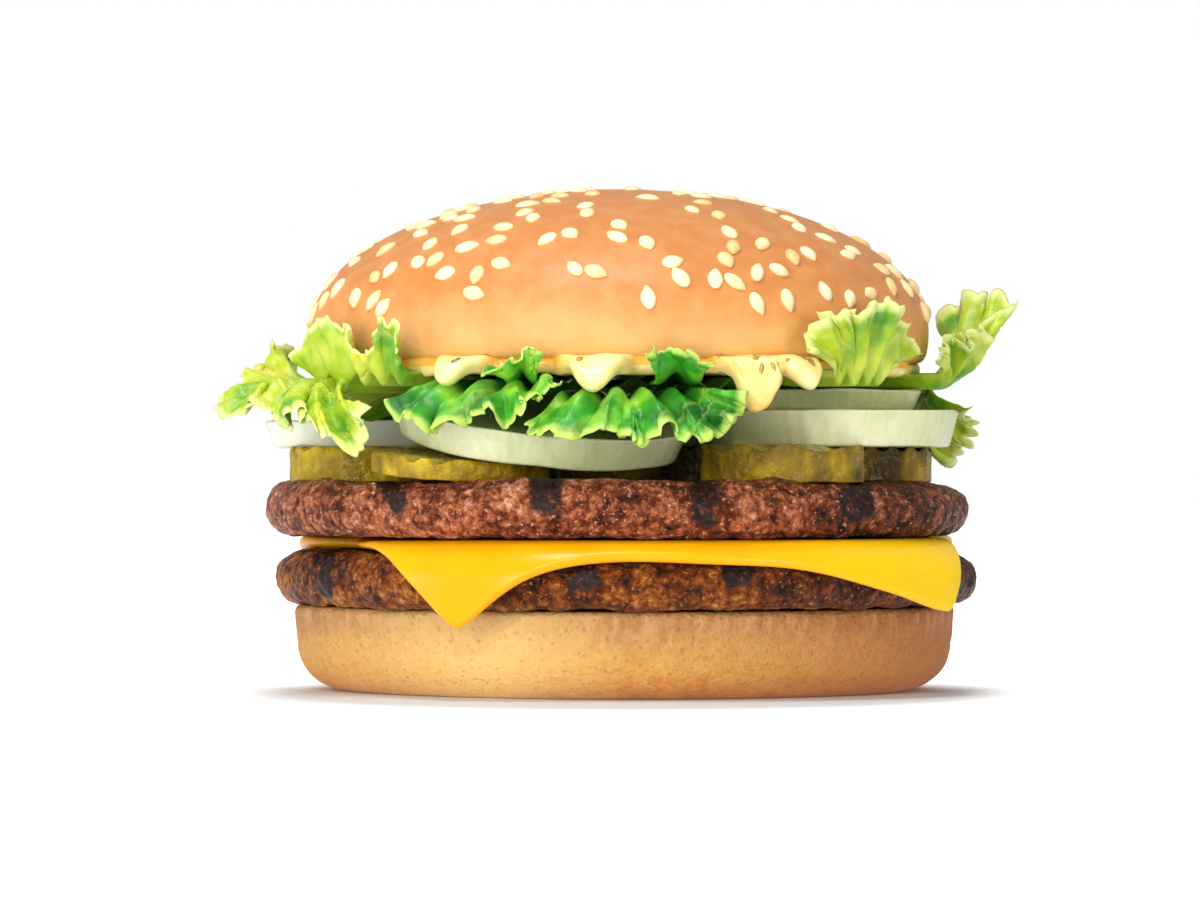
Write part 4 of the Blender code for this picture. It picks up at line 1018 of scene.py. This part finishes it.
# How far out the cream colour of the runs begins, and where it deepens again towards their ends
SAUCE_CREAM_R = 45.6
SAUCE_END_R = 54.5
# Each run: azimuth, how far it spills past the body, and half width
SAUCE_RUNS = (
    (-29.4, 8.0, 4.2),
    (-4.5, 8.9, 5.5),
    (22.5, 12.4, 4.5),
    (27.4, 6.0, 3.6),
    (32.0, 8.4, 4.6),
    (117.0, 9.0, 2.6),
    (-152.0, 11.0, 4.5),
)
RELISH_LENGTH = 1.8
RELISH_COUNT = 48
RELISH_FROM_R = 46.0


def sauce_reach(azimuth):
    """How far the sauce runs from the axis: a wavy edge, or a rounded run where that is further."""
    turn = np.radians(azimuth)
    reach = SAUCE_BODY_R + 0.5 * np.sin(7.0 * turn + 1.0) + 0.3 * np.sin(17.0 * turn)
    for centre, extra, width in SAUCE_RUNS:
        off = turn_between(azimuth, centre) / width
        run = SAUCE_BODY_R - 1.2 + extra * np.exp(-(np.abs(off / 1.05) ** 2.6))
        reach = np.maximum(reach, run + 0.35 * np.sin(5.0 * off + centre) * (np.abs(off) < 1.5))
    return reach


def creamy_sauce():
    finish, tree, shader = new_finish(
        "creamy_sauce", Subsurface_Weight=0.3, Subsurface_Radius=(0.003, 0.002, 0.0008),
        Coat_Weight=0.5, Coat_Roughness=0.12, Roughness=0.25,
    )
    where = own_place(tree)
    patches = noise(tree, where, 170.0, 3.0)
    tones = (srgb(250, 208, 108), srgb(252, 228, 146), srgb(253, 240, 184))
    creamy = ramp(tree, patches, *zip((0.3, 0.5, 0.7), tones))
    colour = blend(tree, painted(tree, "run"), srgb(250, 184, 60), creamy)
    tree.links.new(colour, shader.inputs["Base Color"])
    bump(tree, shader, noise(tree, where, 260.0, 3.0), 0.3, 0.0008)
    return finish


def chopped_relish():
    finish, tree, shader = new_finish(
        "chopped_relish", Subsurface_Weight=0.1, Coat_Weight=0.5, Roughness=0.3
    )
    where = own_place(tree)
    tones = (srgb(112, 92, 24), srgb(160, 132, 46), srgb(192, 146, 64))
    colour = ramp(tree, noise(tree, where, 260.0, 2.0), *zip((0.35, 0.5, 0.65), tones))
    tree.links.new(colour, shader.inputs["Base Color"])
    bump(tree, shader, noise(tree, where, 1500.0), 0.3, 0.0002)
    return finish


azimuth = np.linspace(-180.0, 180.0, SAUCE_COLUMNS, endpoint=False)
reach = sauce_reach(azimuth)
inner = np.linspace(0.0, 1.0, 12)[:-1]
outer = 1.0 - (1.0 - np.linspace(0.0, 1.0, 60)) ** 1.6
travel = np.outer(outer, reach - SAUCE_FLAT_R) + SAUCE_FLAT_R
travel = np.vstack([np.outer(inner, np.full(SAUCE_COLUMNS, SAUCE_FLAT_R)), travel])
middle = drape(azimuth[None, :], travel, SAUCE_LIP, SAUCE_BEND_R, SAUCE_FLARE)
middle += (UPPER_X, 0.0, SAUCE_MID_Z)
spilt = ease((travel - SAUCE_FLAT_R) / 4.0)
hang = ease((travel - SAUCE_LIP) / 4.0)
middle[..., 2] += 0.3 * spilt * (1.0 - hang)
middle[..., :2] *= (1.0 + 0.012 * hang * cloudy(middle, 4.0, 140))[..., None]
to_edge = (reach - travel) / 1.2
bulge = spilt * (0.55 + 0.35 * cloudy(middle, 3.0, 141)) + 0.4 * hang * np.exp(-((to_edge - 1.6) ** 2))
thick = SAUCE_T * (1.0 + bulge) * np.sqrt(1.0 - np.clip(1.0 - to_edge, 0.0, 1.0) ** 2)
sauce = thick_disc("sauce_spread", middle, thick, creamy_sauce())
# The runs and the under face are cream, the rest of the top and edge a deeper orange
above = ease((reach - SAUCE_BODY_R - 0.3) / 2.5) * ease((travel - SAUCE_CREAM_R) / 0.8)
above *= 1.0 - 0.6 * ease((travel - SAUCE_END_R) / 3.5)
paint(sauce, "run", np.vstack([above, np.maximum(above, 0.9)[-2::-1]]), (0.0, 0.0))
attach(sauce, "root")
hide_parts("sauce")

draw = np.random.default_rng(9)
which = draw.integers(0, len(SAUCE_RUNS), RELISH_COUNT)
runs = np.array(SAUCE_RUNS)[which]
azimuth = runs[:, 0] + runs[:, 2] * draw.uniform(-1.2, 1.2, RELISH_COUNT)
most = sauce_reach(azimuth) - 1.6
travel = RELISH_FROM_R + draw.uniform(0.0, 1.0, RELISH_COUNT) * (most - RELISH_FROM_R)
spot = drape(azimuth, travel, SAUCE_LIP, SAUCE_BEND_R, SAUCE_FLARE)
further = drape(azimuth, travel + 0.2, SAUCE_LIP, SAUCE_BEND_R, SAUCE_FLARE)
beside = drape(azimuth + 0.3, travel, SAUCE_LIP, SAUCE_BEND_R, SAUCE_FLARE)
down, side = unit(further - spot), unit(beside - spot)
face = unit(np.cross(down, side))
turn = draw.uniform(0.0, math.pi, RELISH_COUNT)[:, None]
long_axis = side * np.cos(turn) + down * np.sin(turn)
wide_axis = np.cross(face, long_axis)
size = draw.uniform((0.6, 0.35, 0.4), (1.25, 0.65, 0.6), (RELISH_COUNT, 3)) * RELISH_LENGTH / 2.0
axes = np.stack([long_axis, wide_axis, face], axis=1) * size[..., None]
bits = np.einsum("rck,bkd->brcd", ball(8, 9), axes) + (spot + face * 1.35)[:, None, None, :]
bits += 0.12 * cloudy(bits, 0.8, 142)[..., None]
bits += (UPPER_X, 0.0, SAUCE_MID_Z)
relish = scattered("relish_bits", bits, chopped_relish())
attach(relish, "root")


# Crown, the top half of the bun: a low golden dome over a tucked-in pale edge and a flat cut
# face, with toasted sesame seeds baked half into its crust.
CROWN_R = 47.8
CROWN_H = 26.8
CROWN_EDGE_H = 4.9
CROWN_CUT_R = 45.6
CROWN_COLUMNS = 300
# Seeds lie on a spiral first, then more are strewn wherever there is room, even if they touch
SEED_COUNT = 132
SEED_DRAW = 12
SEED_SPACING = 3.4
SEED_EXTRA = 130
SEED_EXTRA_DRAW = 21
SEED_TOUCHING = 2.9
SEED_LENGTH = 3.8
SEED_WIDTH = 2.5
SEED_HEIGHT = 1.5
SEED_LIFT = -0.15
# Share of the dome's height below which no seed lies
SEED_LOWEST = 0.12
GOLDEN_TURN = 137.508


def crown_outline():
    """Half an ellipse, then an edge that curls under in an arc, then the flat cut face."""
    rise = np.radians(np.linspace(90.0, 0.0, 70))
    tuck = np.linspace(0.0, 1.0, 22)[1:]
    cut = np.linspace(CROWN_CUT_R, 0.0, 6)[1:]
    radius = [CROWN_R * np.cos(rise)]
    radius += [CROWN_R - (CROWN_R - CROWN_CUT_R) * (1.0 - np.sqrt(1.0 - tuck**3)), cut]
    height = [CROWN_EDGE_H + (CROWN_H - CROWN_EDGE_H) * np.sin(rise)]
    height += [CROWN_EDGE_H * (1.0 - tuck), np.zeros_like(cut)]
    return np.concatenate(radius), np.concatenate(height)


def crown_crust(base_z):
    finish, tree, shader = new_finish(
        "crown_crust",
        Subsurface_Weight=0.1, Subsurface_Radius=(0.0018, 0.0012, 0.0007), Specular_IOR_Level=0.4,
    )
    where = own_place(tree)
    above = math_of(tree, "SUBTRACT", along_axis(tree, where, "Z"), base_z)
    # The level starts halfway up the ramp, so the crown is only a little paler where it tucks in
    wander = math_of(tree, "MULTIPLY_ADD", noise(tree, where, 60.0, 2.0), 0.16, 0.5)
    level = math_of(tree, "ADD", math_of(tree, "DIVIDE", above, CROWN_H), wander)
    tones = (srgb(248, 204, 132), srgb(238, 182, 108), srgb(216, 144, 74), srgb(190, 114, 52))
    baked = ramp(tree, level, *zip((0.38, 0.56, 0.8, 1.0), tones))
    patches = noise(tree, where, 260.0, 4.0)
    spots = ramp(tree, patches, (0.4, srgb(230, 164, 92)), (0.66, srgb(252, 214, 146)))
    tree.links.new(blend(tree, 0.18, baked, spots), shader.inputs["Base Color"])
    tree.links.new(math_of(tree, "MULTIPLY_ADD", patches, 0.16, 0.36), shader.inputs["Roughness"])
    bump(tree, shader, noise(tree, where, 1100.0, 5.0, 0.6), 0.3, 0.00025)
    return finish


def seed_spots():
    """Places on the dome by a jittered golden-angle spiral, each with an equal part of its area.

    A band of the dome grows with the square root of 1 + (share R / H)^2 - share^2.
    """
    draw = np.random.default_rng(SEED_DRAW)
    shares = np.linspace(SEED_LOWEST, 1.0, 100)
    flatness = (CROWN_R / (CROWN_H - CROWN_EDGE_H)) ** 2 - 1.0
    area = np.cumsum(np.sqrt(1.0 + flatness * shares**2))
    spots = []
    for number in range(SEED_COUNT):
        part = 1.0 - (number + 0.5) / SEED_COUNT
        share = np.interp(area[0] + part * (area[-1] - area[0]), area, shares)
        share = min(share + draw.uniform(-0.02, 0.02), 0.998)
        azimuth = GOLDEN_TURN * number + draw.uniform(-16.0, 16.0)
        spots.append((azimuth, max(share, SEED_LOWEST), draw.uniform(0.0, 360.0)))
    return spots


def seed_skin():
    """A teardrop on a grid: an ellipsoid along x, narrowed and flattened towards its point."""
    x, y, z = np.moveaxis(ball(11, 10), -1, 0)
    taper = 1.0 - 0.5 * np.clip(x, 0.0, 1.0) ** 1.5
    drop = np.stack([x, y * taper, z * (0.5 + 0.5 * taper)], axis=-1)
    return drop * (SEED_LENGTH / 2.0, SEED_WIDTH / 2.0, SEED_HEIGHT / 2.0)


def sesame_hull():
    finish, tree, shader = new_finish(
        "sesame_hull", Subsurface_Weight=0.2, Subsurface_Radius=(0.001, 0.0008, 0.0005),
        Coat_Weight=0.2, Coat_Roughness=0.3, Roughness=0.42,
    )
    where = own_place(tree)
    tones = (srgb(252, 232, 192), srgb(248, 218, 164), srgb(236, 192, 124))
    colour = ramp(tree, painted(tree, "toasting"), *zip((0.0, 0.7, 1.0), tones))
    colour = tint(tree, painted(tree, "tip"), 0.5, colour, srgb(232, 182, 116))
    tree.links.new(colour, shader.inputs["Base Color"])
    bump(tree, shader, noise(tree, where, 2600.0, 2.0), 0.2, 0.0001)
    return finish


crown_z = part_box("top_bun")[0].z / MM
radius, height = crown_outline()
rings = outline_rings(radius, height, CROWN_COLUMNS)
dimples = 0.28 * cloudy(rings, 17.0, 71) + 0.05 * cloudy(rings, 3.0, 72)
dimples *= ease(height / 3.0)[:, None]
rings[..., :2] *= (1.0 + (dimples - 0.15) / CROWN_R)[..., None]
rings[..., 2] += 0.6 * dimples
rings += (UPPER_X, 0.0, crown_z)
crown = round_skin("crown", rings, crown_crust(crown_z))
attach(crown, "root")
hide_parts("top_bun")

grain = seed_skin()
draw = np.random.default_rng(5)
seeds, toasting, tips, taken = [], [], [], []
dome_h = CROWN_H - CROWN_EDGE_H
more = np.random.default_rng(SEED_EXTRA_DRAW)
more = more.uniform((-180.0, SEED_LOWEST, 0.0), (180.0, 1.0, 360.0), (SEED_EXTRA, 3))
both = [(spot, SEED_SPACING) for spot in seed_spots()] + [(spot, SEED_TOUCHING) for spot in more]
for (azimuth, share, turn), spacing in both:
    east, north = direction(azimuth)
    ring = CROWN_R * math.sqrt(1.0 - share * share)
    spot = np.array([ring * east, ring * north, CROWN_EDGE_H + dome_h * share])
    if any(np.linalg.norm(spot - other) < spacing for other in taken):
        continue
    taken.append(spot)
    normal = mathutils.Vector((ring * east / CROWN_R**2, ring * north / CROWN_R**2, share / dome_h))
    lie = normal.to_track_quat("Z", "Y") @ mathutils.Quaternion((0.0, 0.0, 1.0), math.radians(turn))
    size = draw.uniform(0.86, 1.06, 3)
    turned = (grain * size) @ np.array(lie.to_matrix()).T
    lift = SEED_LIFT * np.array(normal.normalized())
    seeds.append(turned + spot + lift + (UPPER_X, 0.0, crown_z))
    toasting.append(np.full(grain.shape[:2], draw.uniform(0.0, 1.0)))
    tips.append(ease((grain[..., 0] / SEED_LENGTH - 0.05) / 0.45))
sesame = scattered("sesame", np.array(seeds), sesame_hull())
store(sesame, "toasting", toasting)
store(sesame, "tip", tips)
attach(sesame, "root")


# Studio: a white floor, a white surround and soft lamps, the largest in front and to the left.
FLOOR_SIZE = 6000.0
FLOOR_Z = -0.05
# The floor glows, so that it is white to the eye: how much of the glow lights the burger, and
# the round patch, by its radii and place, where it fades out to leave a shadow
FLOOR_CAST_GLOW = 0.34
FLOOR_NEAR_R = 47.0
FLOOR_FAR_R = 71.0
FLOOR_SHADOW_Y = -24.0
SURROUND = 0.42
PURE_WHITE = (1.0, 1.0, 1.0, 1.0)
# The camera stands level and looks along +Y, its picture shifted up by this share of its width
CAMERA_PLACE = (-3.85, -866.25, 33.7)
CAMERA_LENS = 168.75
CAMERA_SENSOR = 36.0
CAMERA_SHIFT = 0.0156


def lamp(name, location, aim_z, size, power, tint):
    """A round lamp of this size in millimetres and power in watts, aimed at a height on the axis."""
    light = bpy.data.lights.new(name, "AREA")
    light.shape = "DISK"
    light.size = size * MM
    light.energy = power
    light.color = tint
    shone = bpy.data.objects.new(name, light)
    shone.location = [value * MM for value in location]
    aim = mathutils.Vector((0.0, 0.0, aim_z)) - mathutils.Vector(location)
    shone.rotation_euler = aim.to_track_quat("-Z", "Y").to_euler()
    bpy.context.scene.collection.objects.link(shone)


def camera_rays(tree):
    """1 for what is seen straight, 0 for light that falls on the burger, so both can be set."""
    return wire(tree, "LightPath").outputs["Is Camera Ray"]


def white_floor():
    finish, tree, shader = new_finish("white_floor", Roughness=0.6, Emission_Color=PURE_WHITE)
    where = own_place(tree)
    colour = ramp(tree, noise(tree, where, 3.0), (0.3, srgb(207, 209, 211)), (0.7, srgb(211, 213, 215)))
    tree.links.new(colour, shader.inputs["Base Color"])
    offset = {0: where, 1: (0.0, -FLOOR_SHADOW_Y * MM, 0.0)}
    shifted = wire(tree, "VectorMath", offset).outputs["Vector"]
    away = wire(tree, "VectorMath", {0: shifted}, operation="LENGTH").outputs["Value"]
    limits = {"Value": away, "From Min": FLOOR_NEAR_R * MM, "From Max": FLOOR_FAR_R * MM}
    seen = wire(tree, "MapRange", limits, interpolation_type="SMOOTHSTEP").outputs["Result"]
    cast = math_of(tree, "SUBTRACT", 1.0, camera_rays(tree))
    cast = math_of(tree, "MULTIPLY", cast, FLOOR_CAST_GLOW)
    glow = math_of(tree, "MULTIPLY_ADD", seen, camera_rays(tree), cast)
    tree.links.new(glow, shader.inputs["Emission Strength"])
    return finish


half = FLOOR_SIZE / 2.0
corners = [(-half, -half, FLOOR_Z), (half, -half, FLOOR_Z), (half, half, FLOOR_Z), (-half, half, FLOOR_Z)]
floor = skin_object("floor", np.array(corners), [[0, 1, 2, 3]], white_floor())

world = bpy.data.worlds.new("studio")
bpy.context.scene.world = world
world.use_nodes = True
tree = world.node_tree
background = tree.nodes["Background"]
background.inputs["Color"].default_value = PURE_WHITE
strength = math_of(tree, "MULTIPLY_ADD", camera_rays(tree), 1.0 - SURROUND, SURROUND)
tree.links.new(strength, background.inputs["Strength"])
lamp("overhead", (-60.0, -130.0, 560.0), 40.0, 220.0, 1.7, (1.0, 0.99, 0.98))
lamp("front_left", (-400.0, -720.0, 200.0), 35.0, 420.0, 2.85, (1.0, 0.985, 0.96))
lamp("side_left", (-620.0, -160.0, 120.0), 35.0, 300.0, 1.0, (1.0, 0.99, 0.97))
lamp("front_right", (460.0, -680.0, 120.0), 35.0, 360.0, 1.7, (1.0, 0.99, 0.98))
lamp("glint", (-160.0, -640.0, 400.0), 35.0, 34.0, 1.1, (1.0, 0.99, 0.98))

camera_data = bpy.data.cameras.new("camera")
camera_data.lens = CAMERA_LENS
camera_data.sensor_width = CAMERA_SENSOR
camera_data.shift_y = CAMERA_SHIFT
camera = bpy.data.objects.new("camera", camera_data)
camera.location = [value * MM for value in CAMERA_PLACE]
camera.rotation_euler = (math.pi / 2.0, 0.0, 0.0)
bpy.context.scene.collection.objects.link(camera)
bpy.context.scene.camera = camera
bpy.context.scene.view_settings.view_transform = "Standard"
